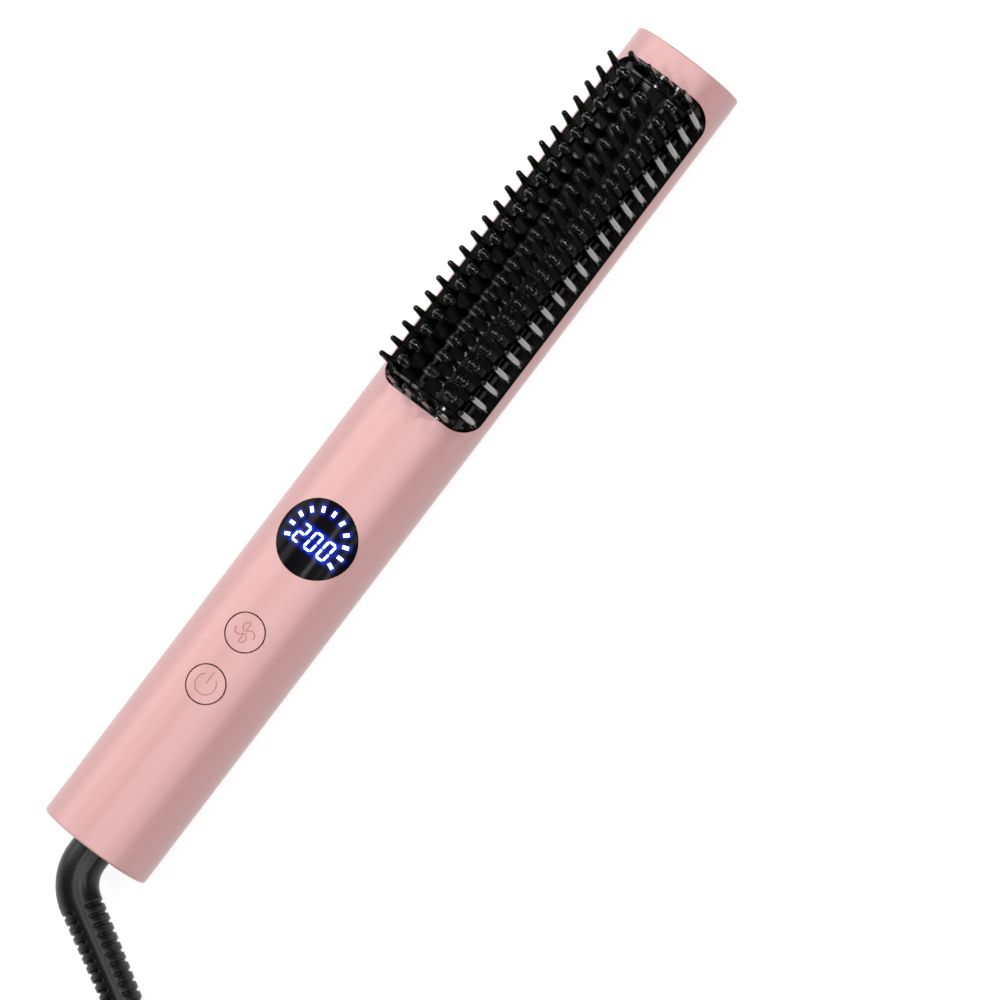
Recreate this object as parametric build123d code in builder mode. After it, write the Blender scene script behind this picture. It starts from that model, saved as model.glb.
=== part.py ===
from build123d import *

import os
from math import asin, atan, cos, degrees, radians, sin, sqrt, tan

# Heated straightening brush: a plain round tube lying on its back, bristles up.
# Millimetres. X runs along the tube, +X towards the tip and -X towards the cord.
# The origin is on the surface that the tube lies on, under the middle of its length.
# Heights inside the tube are given from its axis, stations from its cord end.

# Tube
TUBE_LENGTH = 277.0
TUBE_DIAMETER = 35.0
TUBE_WALL = 1.8
END_CHAMFER = 0.4
INSERT_GAP = 0.1  # between the bore and the pieces that slide into it
CLEARANCE = 0.1  # between pieces that are put together face to face or pin to hole

# Opening over the heated head
HEAD_START = 154.1
HEAD_LENGTH = 114.9
OPENING_WIDTH = 32.4
OPENING_CORNER = 6.5
LEDGE_HEIGHT = 4.0

# Vents in the back of the head
VENT_ROWS = 5
VENT_ROW_TURN = 18.3
VENT_COUNT = 12
VENT_PITCH = 9.1
VENT_LENGTH = 6.2
VENT_WIDTH = 1.5
VENT_CENTRE = 215.1
VENT_CORNER = 0.45
GROOVE_WIDTH = 2.5
GROOVE_CORNER = 0.75
GROOVE_DEPTH = 0.35
GROOVE_OVERRUN = 1.2
INNER_FLAT = 0.05

# Guard frame and its bristles
FRAME_WALL = 1.6
FRAME_OVERLAP = 2.5
FRAME_RISE = 0.6
WINDOW_MARGIN = 4.2
WINDOW_WIDTH = 23.2
BRISTLE_HEIGHT = 36.0
BRISTLE_ROOT = 1.4
BRISTLE_TIP = 0.8
BRISTLE_SIDES = 6
BRISTLE_PITCH = 5.205
BRISTLES_A_SIDE = 21
SIDE_ROW_SPACING = 27.8
BRISTLES_AN_END = 4
END_ROW_PITCH = 6.1
END_ROW_INSET = 2.05
END_ROW_BASE = 12.2
SHELF_START = 12.35
SHELF_HEIGHT = 6.5
RAIL_HEIGHT = 2.6
RAIL_THICKNESS = 1.6
RAIL_DEPTH = 2.4

# Heating plate, its fins and their tips
PLATE_CROWN = 15.3
PLATE_BASE = 8.6
PLATE_GAP = 0.4
POCKET_WIDTH = 12.4
POCKET_DEPTH = 3.0
POCKET_LENGTH = 92.0
FIN_ROW_SPACING = 8.0
FIN_ROOT_WIDTH = 4.4
FIN_TOP_WIDTH = 3.0
FIN_SINK = 2.0
FIN_THICKNESS = 2.2
FIN_TOP = 28.5
FIN_PITCH = 5.26
RIB_RISE = 1.4
TIP_WIDTH = 4.0
TIP_THICKNESS = 3.0
TIP_HEIGHT = 5.0
TIP_CHAMFER = 0.85
MIDDLE_TEETH = 19
SIDE_TEETH = 20

# Heater stack under the plate
SHEET_THICKNESS = 0.3
ELEMENT_WIDTH = 10.0
ELEMENT_LENGTH = 42.0
ELEMENT_THICKNESS = 2.2
ELEMENT_GAP = 6.0
CLAMP_THICKNESS = 0.8
CLAMP_LENGTH = 88.0
TRAY_LENGTH = 109.0
TRAY_WIDTH = 22.0
TRAY_WALL = 1.5
PEG_SPACING = 99.0
PEG_BASE = (5.0, 9.0)
PEG_SIZE = (3.5, 6.5)
PEG_RISE = 2.5
SHIELD_THICKNESS = 0.5
FUSE_SIZE = (10.0, 5.0, 3.2)
SENSOR_SIZE = (2.4, 5.0, 1.6)

# End covers
COVER_THICKNESS = 2.0

# Chassis and boards in the handle
CHASSIS_START = 8.0
CHASSIS_LENGTH = 119.0
DECK_TOP = -3.4
DECK_THICKNESS = 1.6
RIB_SPACING = 16.0
RIB_WIDTH = 1.6
RIB_START = 40.0
POST_START = 47.5
POST_LENGTHS = 76.0
POST_SPACING = 16.4
POST_WIDTH = 4.4
SHOULDER_WIDTH = 6.6
SHOULDER_RISE = 1.6
STAKE_WIDTH = 2.2
STAKE_RISE = 0.8
BOARD_THICKNESS = 1.6
POWER_BOARD_START = 30.0
POWER_BOARD_LENGTH = 92.0
POWER_BOARD_WIDTH = 24.0
PANEL_BOARD_START = 44.0
PANEL_BOARD_LENGTH = 83.0
PANEL_BOARD_WIDTH = 21.0
PANEL_BOARD_BASE = 8.2
PANEL_BOARD_THICKNESS = 1.2

# Display
DISPLAY_STATION = 107.2
DISPLAY_DIAMETER = 23.0
LENS_GAP = 0.15
MODULE_LENGTH = 18.0
MODULE_WIDTH = 13.0
MODULE_HEIGHT = 3.6

# Buttons and the switches under them
FAN_BUTTON_STATION = 74.4
POWER_BUTTON_STATION = 56.3
BUTTON_DIAMETER = 11.0
BUTTON_GAP = 0.45
BUTTON_FLANGE = 12.8
BUTTON_FLANGE_THICKNESS = 0.8
BUTTON_FLANGE_TOP = 13.85
BUTTON_SINK = 0.05
SWITCH_SIZE = 6.0
SWITCH_HEIGHT = 2.2
PLUNGER_WIDTH = 3.0
PLUNGER_DEPTH = 1.0
SWITCH_BORE_DEPTH = 2.0

# Screws in the back of the handle and the plugs over them
SCREW_STATION = 28.0
SCREW_TURN = 32.0
PLUG_DIAMETER = 4.7
PLUG_THICKNESS = 0.9
CASE_SCREW_HEAD = 4.2
CASE_SCREW_HEAD_HEIGHT = 1.3
CASE_SCREW_DIAMETER = 2.2
CASE_SCREW_LENGTH = 7.0
CASE_SCREW_SIDES = 12
PAD_WIDTH = 8.0
PAD_THICKNESS = 1.9
BOSS_WIDTH = 6.0
BOSS_LENGTH = 7.0

# Fan
FAN_START = 130.0
FAN_BLADES = 7
BLADE_TIP = 13.5
BLADE_CHORD = 5.0
BLADE_THICKNESS = 1.0
BLADE_PITCH = 50.0
HUB_DIAMETER = 9.0
HUB_LENGTH = 4.0
HUB_GAP = 0.8
MOTOR_DIAMETER = 12.4
MOTOR_LENGTH = 9.0
STRUTS = 4
STRUT_WIDTH = 2.0
STRUT_THICKNESS = 3.0
SHAFT_DIAMETER = 1.5
SHAFT_GAP = 0.05
SHAFT_REACH = 7.5

# Strain relief
RELIEF_ROOT = 12.4
RELIEF_END = 10.8
RELIEF_NECK = 1.5
ELBOW_RADIUS = 13.5
ELBOW_TURN = 59.0
ELBOW_STEPS = 5
RELIEF_STRAIGHT = 43.0
RELIEF_FLANGE = 14.5
RELIEF_FLANGE_THICKNESS = 2.0
RELIEF_CHAMFER = 0.8
SOFT_SIDES = 8  # sides of the round sections of the soft pieces

# Cord: its route where it isn't coiled, the coil and the plug
CORD_DIAMETER = 5.2
CORD_SIDES = 6
CORD_ROUTE = [
    (-173.72, -43.41, 17.5),
    (-184.0, -60.5, 17.5),
    (-197.2, -79.0, 7.6),
    (-233.6, -83.2, 2.6),
    (-253.1, -62.7, 2.6),
]
LEAD_ROUTE = [
    (-201.0, -74.0, 18.2),
    (-222.5, -80.0, 18.7),
    (-242.0, -68.9, 27.8),
    (-248.0, -47.4, 27.8),
]
BEND_SHARE = 0.45
COIL_CENTRE = (-221.6, -41.5)
COIL_OUTER_TURN = 76.0
TURNS_A_LAYER = 3
COIL_LAYERS = 4
COIL_SIDES = 32
TIE_WIDTH = 10.0
TIE_THICKNESS = 0.8
PLUG_WIDTH = 24.0
PLUG_BODY_LENGTH = 24.0
PLUG_HEIGHT = 14.0
PLUG_TAIL_WIDTH = 13.0
PLUG_SHOULDER = 9.0
PLUG_EDGE = 2.0
PLUG_RELIEF_LENGTH = 10.0
PLUG_RELIEF_END = 7.6
PLUG_RELIEF_ROOT = 11.0
BLADE_SPACING = 12.7
BLADE_SIZE = (1.5, 6.3)
BLADE_LENGTH = 18.0
BLADE_ROOT = 5.0

# Cord end inside the tube
TAIL_LENGTH = 22.0
GRIP_START = 14.0
GRIP_LENGTH = 6.0
GRIP_WIDTH = 17.0
GRIP_RISE = 4.6
CHEEK_WIDTH = 1.6
CHEEK_RISE = 5.0
WIRE_DIAMETER = 1.6
WIRE_SIDES = 6
LEAD_GAP = 0.6

# Parts on the power board
TERMINAL_SIZE = (7.0, 12.0, 6.0)
FILM_SIZE = (13.0, 6.0, 8.0)
TRANSFORMER_SIZE = (13.0, 11.0, 8.0)
TRIAC_SIZE = (4.4, 7.0, 7.0)
SINK_SIZE = (12.0, 11.0, 7.8)
SINK_WALL = 1.5
CAPACITOR_DIAMETER = 7.6
CAPACITOR_LENGTH = 12.0
HEADER_SIZE = (10.0, 2.5)
CHIP_SIZE = (7.0, 7.0, 1.0)

tube_radius = TUBE_DIAMETER / 2
bore_radius = tube_radius - TUBE_WALL
axis_height = tube_radius
head_middle = HEAD_START + HEAD_LENGTH / 2
insert_radius = bore_radius - INSERT_GAP
frame_inner = insert_radius - FRAME_WALL


def along(station):
    """X of a station, which is counted from the cord end of the tube."""
    return station - TUBE_LENGTH / 2


def across(station):
    """Plane square to the tube axis at a station: local x is Y, local y is the height."""
    origin = (along(station), 0, axis_height)
    return Plane(origin=origin, x_dir=(0, 1, 0), z_dir=(1, 0, 0))


def level(height):
    """Level plane at a height above the tube axis."""
    return Plane.XY.offset(axis_height + height)


def outward(turn, station, radius):
    """Plane facing out from the axis, turned round the tube from the middle of its back."""
    out = Vector(0, sin(radians(turn)), -cos(radians(turn)))
    origin = Vector(along(station), 0, axis_height) + out * radius
    return Plane(origin=origin, x_dir=(1, 0, 0), z_dir=out)


def finish(piece, label):
    """Names a finished piece and writes it."""
    piece.part.label = label
    export_step(piece.part, f"parts/{label}.step")


os.makedirs("parts", exist_ok=True)

# ---------------------------------------------------------------- tube and its covers

pad_inner = bore_radius - PAD_THICKNESS
plug_seat = tube_radius - PLUG_THICKNESS - CLEARANCE / 2
head_seat = plug_seat - CASE_SCREW_HEAD_HEIGHT - CLEARANCE / 2
lens_radius = tube_radius - BUTTON_SINK
row_turns = [(row - (VENT_ROWS - 1) / 2) * VENT_ROW_TURN for row in range(VENT_ROWS)]

with BuildSketch() as vent_slot:
    Rectangle(VENT_LENGTH, VENT_WIDTH)
    chamfer(vent_slot.vertices(), VENT_CORNER)

with BuildPart() as body_tube:
    with BuildSketch(across(0)):
        Circle(tube_radius)
        Circle(bore_radius, mode=Mode.SUBTRACT)
    extrude(amount=TUBE_LENGTH)
    rims = body_tube.faces().filter_by(Axis.X).edges()
    chamfer(rims.filter_by(lambda rim: abs(rim.radius - tube_radius) < END_CHAMFER), END_CHAMFER)
    for side in (-1, 1):
        with BuildSketch(outward(side * SCREW_TURN, SCREW_STATION, pad_inner)):
            Rectangle(PAD_WIDTH, PAD_WIDTH)
        extrude(amount=PAD_THICKNESS + TUBE_WALL / 2)
        with BuildSketch(outward(side * SCREW_TURN, SCREW_STATION, pad_inner)):
            Circle(CASE_SCREW_DIAMETER / 2 + CLEARANCE)
        extrude(amount=head_seat - pad_inner, mode=Mode.SUBTRACT)
        with BuildSketch(outward(side * SCREW_TURN, SCREW_STATION, head_seat)):
            Circle(PLUG_DIAMETER / 2 + CLEARANCE)
        extrude(amount=tube_radius - head_seat + 1, mode=Mode.SUBTRACT)
    with BuildSketch(level(LEDGE_HEIGHT)):
        with Locations((along(head_middle), 0)):
            RectangleRounded(HEAD_LENGTH, OPENING_WIDTH, OPENING_CORNER)
    extrude(amount=tube_radius, mode=Mode.SUBTRACT)
    for station in (FAN_BUTTON_STATION, POWER_BUTTON_STATION):
        with BuildSketch(level(0)):
            with Locations((along(station), 0)):
                Circle(BUTTON_DIAMETER / 2 + BUTTON_GAP)
        extrude(amount=tube_radius + 1, mode=Mode.SUBTRACT)
    with BuildSketch(level(0)):
        with Locations((along(DISPLAY_STATION), 0)):
            Circle(DISPLAY_DIAMETER / 2 + LENS_GAP)
    extrude(amount=tube_radius + 1, mode=Mode.SUBTRACT)
    for index, turn in enumerate(row_turns):
        count = VENT_COUNT - index % 2
        groove = (count - 1) * VENT_PITCH + VENT_LENGTH + 2 * GROOVE_OVERRUN
        with BuildSketch(outward(turn, VENT_CENTRE, tube_radius - GROOVE_DEPTH)) as floor:
            Rectangle(groove, GROOVE_WIDTH)
            chamfer(floor.vertices(), GROOVE_CORNER)
        extrude(amount=GROOVE_DEPTH + 1, mode=Mode.SUBTRACT)
        with BuildSketch(outward(turn, VENT_CENTRE, bore_radius + INNER_FLAT)):
            Rectangle(groove, GROOVE_WIDTH)
        extrude(amount=-TUBE_WALL, mode=Mode.SUBTRACT)
        with BuildSketch(outward(turn, VENT_CENTRE, bore_radius - 1)):
            with GridLocations(VENT_PITCH, 0, count, 1):
                add(vent_slot.sketch)
        extrude(amount=TUBE_WALL + 2, mode=Mode.SUBTRACT)

finish(body_tube, "body_tube")

with BuildPart() as tip_cover:
    with BuildSketch(across(TUBE_LENGTH - COVER_THICKNESS)):
        Circle(insert_radius)
    extrude(amount=COVER_THICKNESS)
finish(tip_cover, "tip_cover")

with BuildPart() as cord_cover:
    with BuildSketch(across(0)):
        Circle(insert_radius)
        Circle(RELIEF_ROOT / 2 + CLEARANCE, mode=Mode.SUBTRACT)
    extrude(amount=COVER_THICKNESS)
finish(cord_cover, "cord_cover")

with BuildPart() as case_screws:
    for side in (-1, 1):
        with BuildSketch(outward(side * SCREW_TURN, SCREW_STATION, head_seat)):
            RegularPolygon(CASE_SCREW_HEAD / 2, CASE_SCREW_SIDES)
        extrude(amount=CASE_SCREW_HEAD_HEIGHT)
        with BuildSketch(outward(side * SCREW_TURN, SCREW_STATION, head_seat)):
            RegularPolygon(CASE_SCREW_DIAMETER / 2, CASE_SCREW_SIDES)
        extrude(amount=-CASE_SCREW_LENGTH)
finish(case_screws, "case_screws")

with BuildPart() as screw_plugs:
    for side in (-1, 1):
        with BuildSketch(outward(side * SCREW_TURN, SCREW_STATION, plug_seat)):
            Circle(PLUG_DIAMETER / 2)
        extrude(amount=PLUG_THICKNESS)
finish(screw_plugs, "screw_plugs")

# ---------------------------------------------------------------- guard frame

frame_length = HEAD_LENGTH + 2 * FRAME_OVERLAP
window_length = HEAD_LENGTH - 2 * WINDOW_MARGIN
crown_radius = insert_radius + FRAME_RISE
end_row_span = HEAD_LENGTH - 2 * END_ROW_INSET
shelf_length = BRISTLES_A_SIDE * BRISTLE_PITCH
bristle_grids = [
    (SHELF_HEIGHT, (BRISTLE_PITCH, SIDE_ROW_SPACING, BRISTLES_A_SIDE, 2)),
    (END_ROW_BASE, (end_row_span, END_ROW_PITCH, 2, BRISTLES_AN_END)),
]

with BuildPart() as bristle_frame:
    with BuildSketch(level(LEDGE_HEIGHT + CLEARANCE / 2)):
        with Locations((along(head_middle), 0)):
            RectangleRounded(
                HEAD_LENGTH - 2 * CLEARANCE, OPENING_WIDTH - 2 * CLEARANCE, OPENING_CORNER - CLEARANCE
            )
    extrude(amount=tube_radius)
    with BuildSketch(across(head_middle)):
        Circle(crown_radius)
        Rectangle(2 * tube_radius, 2 * SHELF_HEIGHT)
    extrude(amount=HEAD_LENGTH, both=True, mode=Mode.INTERSECT)
    with BuildSketch(across(head_middle)):
        Circle(insert_radius)
        Rectangle(4 * tube_radius, tube_radius, align=(Align.CENTER, Align.MAX), mode=Mode.SUBTRACT)
    extrude(amount=frame_length / 2, both=True)
    with BuildSketch(level(SHELF_HEIGHT)):
        with Locations((along(head_middle), 0)):
            Rectangle(shelf_length, 4 * tube_radius)
            Rectangle(shelf_length, 2 * SHELF_START, mode=Mode.SUBTRACT)
    extrude(amount=tube_radius, mode=Mode.SUBTRACT)
    with BuildSketch(across(head_middle)):
        Circle(frame_inner)
    extrude(amount=frame_length, both=True, mode=Mode.SUBTRACT)
    with BuildSketch(level(0)):
        with Locations((along(head_middle), 0)):
            Rectangle(window_length, WINDOW_WIDTH)
    extrude(amount=tube_radius, mode=Mode.SUBTRACT)
    with BuildSketch(across(head_middle)):
        Circle(insert_radius - FRAME_WALL / 2)
        with Locations((0, RAIL_HEIGHT)):
            Rectangle(4 * tube_radius, RAIL_THICKNESS, align=(Align.CENTER, Align.MAX), mode=Mode.INTERSECT)
        Rectangle(2 * (frame_inner - RAIL_DEPTH), tube_radius, mode=Mode.SUBTRACT)
    extrude(amount=TRAY_LENGTH / 2, both=True)
finish(bristle_frame, "bristle_frame")

with BuildPart() as guard_bristles:
    for base, grid in bristle_grids:
        bristle_length = BRISTLE_HEIGHT - base
        bristle_taper = degrees(atan((BRISTLE_ROOT - BRISTLE_TIP) / bristle_length))
        with BuildSketch(level(base)):
            with Locations((along(head_middle), 0)):
                with GridLocations(*grid):
                    RegularPolygon(BRISTLE_ROOT, BRISTLE_SIDES)
        extrude(amount=bristle_length, taper=bristle_taper)
    add(bristle_frame.part, mode=Mode.SUBTRACT)
    with BuildSketch(across(head_middle)):
        Circle(frame_inner)
    extrude(amount=HEAD_LENGTH, both=True, mode=Mode.SUBTRACT)
finish(guard_bristles, "guard_bristles")

# ---------------------------------------------------------------- heating plate and fins

plate_length = window_length - 2 * PLATE_GAP
plate_half = WINDOW_WIDTH / 2 - PLATE_GAP
pocket_roof = PLATE_BASE + POCKET_DEPTH
fin_rows = [
    (-FIN_ROW_SPACING, SIDE_TEETH),
    (0.0, MIDDLE_TEETH),
    (FIN_ROW_SPACING, SIDE_TEETH),
]


def rib_top(row):
    """Height at which a fin row's cross cuts stop, just above the plate beside it."""
    return sqrt(PLATE_CROWN**2 - row**2) + RIB_RISE


def fin_section(row):
    """Height and half width of a fin at its root in the plate and at the top of its rib."""
    root = sqrt(PLATE_CROWN**2 - row**2) - FIN_SINK
    lean = (FIN_ROOT_WIDTH - FIN_TOP_WIDTH) / 2 / (FIN_TOP - root)
    return root, FIN_ROOT_WIDTH / 2 - lean * (rib_top(row) - root)


with BuildPart() as heating_plate:
    with BuildSketch(across(head_middle)):
        Circle(PLATE_CROWN)
        with Locations((0, PLATE_BASE)):
            Rectangle(
                2 * plate_half, tube_radius, align=(Align.CENTER, Align.MIN), mode=Mode.INTERSECT
            )
    extrude(amount=plate_length / 2, both=True)
    with BuildSketch(across(head_middle)):
        with Locations((0, PLATE_BASE)):
            Rectangle(POCKET_WIDTH, POCKET_DEPTH, align=(Align.CENTER, Align.MIN))
    extrude(amount=POCKET_LENGTH / 2, both=True, mode=Mode.SUBTRACT)
    for row, teeth in fin_rows:
        root, half_at_rib = fin_section(row)
        with BuildSketch(across(head_middle)):
            with BuildLine():
                Polyline(
                    (row - FIN_ROOT_WIDTH / 2, root),
                    (row + FIN_ROOT_WIDTH / 2, root),
                    (row + half_at_rib, rib_top(row)),
                    (row - half_at_rib, rib_top(row)),
                    close=True,
                )
            make_face()
        extrude(amount=plate_length / 2, both=True)
    with BuildSketch(level(PLATE_BASE)):
        with Locations((along(head_middle), 0)):
            with GridLocations(PEG_SPACING, 0, 2, 1):
                Rectangle(PEG_SIZE[0] + 2 * CLEARANCE, PEG_SIZE[1] + 2 * CLEARANCE)
    extrude(amount=PEG_RISE + CLEARANCE, mode=Mode.SUBTRACT)
finish(heating_plate, "heating_plate")

with BuildPart() as heating_fins:
    for row, teeth in fin_rows:
        root, half_at_rib = fin_section(row)
        with BuildSketch(across(head_middle)):
            with BuildLine():
                Polyline(
                    (row - half_at_rib, rib_top(row)),
                    (row + half_at_rib, rib_top(row)),
                    (row + FIN_TOP_WIDTH / 2, FIN_TOP),
                    (row - FIN_TOP_WIDTH / 2, FIN_TOP),
                    close=True,
                )
            make_face()
        extrude(amount=((teeth - 1) * FIN_PITCH + FIN_THICKNESS) / 2, both=True)
        with BuildSketch(level(rib_top(row))):
            with Locations((along(head_middle), row)):
                with GridLocations(FIN_PITCH, 0, teeth - 1, 1):
                    Rectangle(FIN_PITCH - FIN_THICKNESS, FIN_ROOT_WIDTH)
        extrude(amount=FIN_TOP - rib_top(row) + 1, mode=Mode.SUBTRACT)
finish(heating_fins, "heating_fins")

with BuildPart() as tooth_tips:
    for row, teeth in fin_rows:
        with BuildSketch(level(FIN_TOP)):
            with Locations((along(head_middle), row)):
                with GridLocations(FIN_PITCH, 0, teeth, 1):
                    Rectangle(TIP_THICKNESS, TIP_WIDTH)
        extrude(amount=TIP_HEIGHT)
    crowns = tooth_tips.faces().filter_by(Axis.Z).group_by(Axis.Z)[-1]
    chamfer(crowns.edges(), TIP_CHAMFER)
finish(tooth_tips, "tooth_tips")

# ---------------------------------------------------------------- heater stack and tray

element_top = pocket_roof - SHEET_THICKNESS
element_base = element_top - ELEMENT_THICKNESS
tray_floor = RAIL_HEIGHT + TRAY_WALL
clamp_web = element_base - CLAMP_THICKNESS

with BuildPart() as insulation_sheet:
    with BuildSketch(level(element_top)):
        with Locations((along(head_middle), 0)):
            Rectangle(POCKET_LENGTH - 1, POCKET_WIDTH - 1)
    extrude(amount=SHEET_THICKNESS)
finish(insulation_sheet, "insulation_sheet")

with BuildPart() as heating_elements:
    with BuildSketch(level(element_base)):
        with Locations((along(head_middle), 0)):
            with GridLocations(ELEMENT_LENGTH + ELEMENT_GAP, 0, 2, 1):
                Rectangle(ELEMENT_LENGTH, ELEMENT_WIDTH)
    extrude(amount=ELEMENT_THICKNESS)
finish(heating_elements, "heating_elements")

with BuildPart() as heater_clamp:
    with BuildSketch(across(head_middle)):
        with Locations((0, tray_floor)):
            Rectangle(ELEMENT_WIDTH, element_base - tray_floor, align=(Align.CENTER, Align.MIN))
            Rectangle(
                ELEMENT_WIDTH - 2 * CLAMP_THICKNESS,
                clamp_web - tray_floor,
                align=(Align.CENTER, Align.MIN),
                mode=Mode.SUBTRACT,
            )
    extrude(amount=CLAMP_LENGTH / 2, both=True)
finish(heater_clamp, "heater_clamp")

with BuildPart() as temperature_sensor:
    with BuildSketch(level(element_base)):
        with Locations((along(head_middle), 0)):
            Rectangle(*SENSOR_SIZE[:2])
    extrude(amount=SENSOR_SIZE[2])
finish(temperature_sensor, "temperature_sensor")

with BuildPart() as thermal_fuse:
    with BuildSketch(level(tray_floor)):
        with Locations((along(head_middle), 0)):
            Rectangle(*FUSE_SIZE[:2])
    extrude(amount=FUSE_SIZE[2])
finish(thermal_fuse, "thermal_fuse")

# The tray hangs on the frame's rails and carries the plate on its rim and end blocks.
with BuildPart() as heater_tray:
    with BuildSketch(level(RAIL_HEIGHT)):
        with Locations((along(head_middle), 0)):
            Rectangle(TRAY_LENGTH, TRAY_WIDTH)
    extrude(amount=PLATE_BASE - RAIL_HEIGHT)
    with BuildSketch(level(tray_floor)):
        with Locations((along(head_middle), 0)):
            Rectangle(TRAY_LENGTH - 2 * TRAY_WALL, TRAY_WIDTH - 2 * TRAY_WALL)
            with GridLocations(PEG_SPACING, 0, 2, 1):
                Rectangle(*PEG_BASE, mode=Mode.SUBTRACT)
    extrude(amount=PLATE_BASE - tray_floor, mode=Mode.SUBTRACT)
    with BuildSketch(level(PLATE_BASE)):
        with Locations((along(head_middle), 0)):
            with GridLocations(PEG_SPACING, 0, 2, 1):
                Rectangle(*PEG_SIZE)
    extrude(amount=PEG_RISE)
    with BuildSketch(level(RAIL_HEIGHT)):
        with Locations((along(head_middle), 0)):
            Rectangle(TRAY_LENGTH, 2 * (frame_inner - CLEARANCE) * cos(asin(tray_floor / frame_inner)))
    extrude(amount=TRAY_WALL)
finish(heater_tray, "heater_tray")

with BuildPart() as heat_shield:
    with BuildSketch(level(-SHIELD_THICKNESS)):
        with Locations((along(head_middle), 0)):
            Rectangle(TRAY_LENGTH, 2 * frame_inner + FRAME_WALL)
    extrude(amount=SHIELD_THICKNESS)
finish(heat_shield, "heat_shield")

# ---------------------------------------------------------------- chassis and boards

posts_middle = POST_START + POST_LENGTHS / 2
shoulder_top = DECK_TOP + SHOULDER_RISE
panel_top = PANEL_BOARD_BASE + PANEL_BOARD_THICKNESS
power_top = shoulder_top + BOARD_THICKNESS
boss_radius = insert_radius - PAD_THICKNESS
chassis_end = CHASSIS_START + CHASSIS_LENGTH

with BuildPart() as chassis:
    with BuildSketch(across(CHASSIS_START)):
        Circle(insert_radius - CLEARANCE)
        with Locations((0, DECK_TOP)):
            Rectangle(
                4 * tube_radius, DECK_THICKNESS, align=(Align.CENTER, Align.MAX), mode=Mode.INTERSECT
            )
    extrude(amount=CHASSIS_LENGTH)
    with BuildSketch(across(RIB_START)):
        with GridLocations(RIB_SPACING, 0, 2, 1):
            Rectangle(RIB_WIDTH, tube_radius, align=(Align.CENTER, Align.MAX))
        Circle(insert_radius - CLEARANCE, mode=Mode.INTERSECT)
        with Locations((0, DECK_TOP)):
            Rectangle(
                4 * tube_radius, tube_radius, align=(Align.CENTER, Align.MIN), mode=Mode.SUBTRACT
            )
    extrude(amount=chassis_end - RIB_START)
    with BuildSketch(level(DECK_TOP)):
        with Locations((along(posts_middle), 0)):
            with GridLocations(POST_LENGTHS, POST_SPACING, 2, 2):
                Rectangle(SHOULDER_WIDTH, SHOULDER_WIDTH)
    extrude(amount=SHOULDER_RISE)
    with BuildSketch(level(DECK_TOP)):
        with Locations((along(posts_middle), 0)):
            with GridLocations(POST_LENGTHS, POST_SPACING, 2, 2):
                Rectangle(POST_WIDTH, POST_WIDTH)
    extrude(amount=PANEL_BOARD_BASE - DECK_TOP)
    with BuildSketch(level(PANEL_BOARD_BASE)):
        with Locations((along(posts_middle), 0)):
            with GridLocations(POST_LENGTHS, POST_SPACING, 2, 2):
                Rectangle(STAKE_WIDTH, STAKE_WIDTH)
    extrude(amount=PANEL_BOARD_THICKNESS + STAKE_RISE)
    for side in (-1, 1):
        with BuildSketch(outward(side * SCREW_TURN, SCREW_STATION, boss_radius)):
            Rectangle(BOSS_WIDTH, BOSS_WIDTH)
        extrude(amount=-BOSS_LENGTH)
        with BuildSketch(outward(side * SCREW_TURN, SCREW_STATION, boss_radius)):
            Circle(CASE_SCREW_DIAMETER / 2 + CLEARANCE / 2)
        extrude(amount=-BOSS_LENGTH, mode=Mode.SUBTRACT)
    with BuildSketch(level(DECK_TOP)):
        with Locations((along(GRIP_START + GRIP_LENGTH / 2), 0)):
            with GridLocations(0, GRIP_WIDTH + 2 * CLEARANCE + CHEEK_WIDTH, 1, 2):
                Rectangle(GRIP_LENGTH, CHEEK_WIDTH)
    extrude(amount=CHEEK_RISE)
finish(chassis, "chassis")

with BuildPart() as power_board:
    with BuildSketch(level(shoulder_top)):
        with Locations((along(POWER_BOARD_START + POWER_BOARD_LENGTH / 2), 0)):
            Rectangle(POWER_BOARD_LENGTH, POWER_BOARD_WIDTH)
        with Locations((along(posts_middle), 0)):
            with GridLocations(POST_LENGTHS, POST_SPACING, 2, 2):
                Rectangle(POST_WIDTH + 2 * CLEARANCE, POST_WIDTH + 2 * CLEARANCE, mode=Mode.SUBTRACT)
    extrude(amount=BOARD_THICKNESS)
finish(power_board, "power_board")

with BuildPart() as panel_board:
    with BuildSketch(level(PANEL_BOARD_BASE)):
        with Locations((along(PANEL_BOARD_START + PANEL_BOARD_LENGTH / 2), 0)):
            Rectangle(PANEL_BOARD_LENGTH, PANEL_BOARD_WIDTH)
        with Locations((along(posts_middle), 0)):
            with GridLocations(POST_LENGTHS, POST_SPACING, 2, 2):
                Rectangle(STAKE_WIDTH + CLEARANCE, STAKE_WIDTH + CLEARANCE, mode=Mode.SUBTRACT)
    extrude(amount=PANEL_BOARD_THICKNESS)
finish(panel_board, "panel_board")


def board_block(label, station, row, size, base):
    """A plain moulded block that stands on a board, its middle at a station and a row."""
    length, width, height = size
    with BuildPart() as block:
        with BuildSketch(level(base)):
            with Locations((along(station), row)):
                Rectangle(length, width)
        extrude(amount=height)
        chamfer(block.faces().sort_by(Axis.Z)[-1].edges(), height / 12)
    finish(block, label)


film_station = POST_START + FILM_SIZE[0]
transformer_station = film_station + (FILM_SIZE[0] + TRANSFORMER_SIZE[0]) / 2 + 2
capacitor_station = transformer_station + TRANSFORMER_SIZE[0] / 2 + 2
header_station = capacitor_station + CAPACITOR_LENGTH + HEADER_SIZE[0] / 2 + 2
sink_station = header_station + (HEADER_SIZE[0] + SINK_SIZE[0]) / 2 + 2
terminal_station = POWER_BOARD_START + TERMINAL_SIZE[0] / 2 + 1

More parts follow.
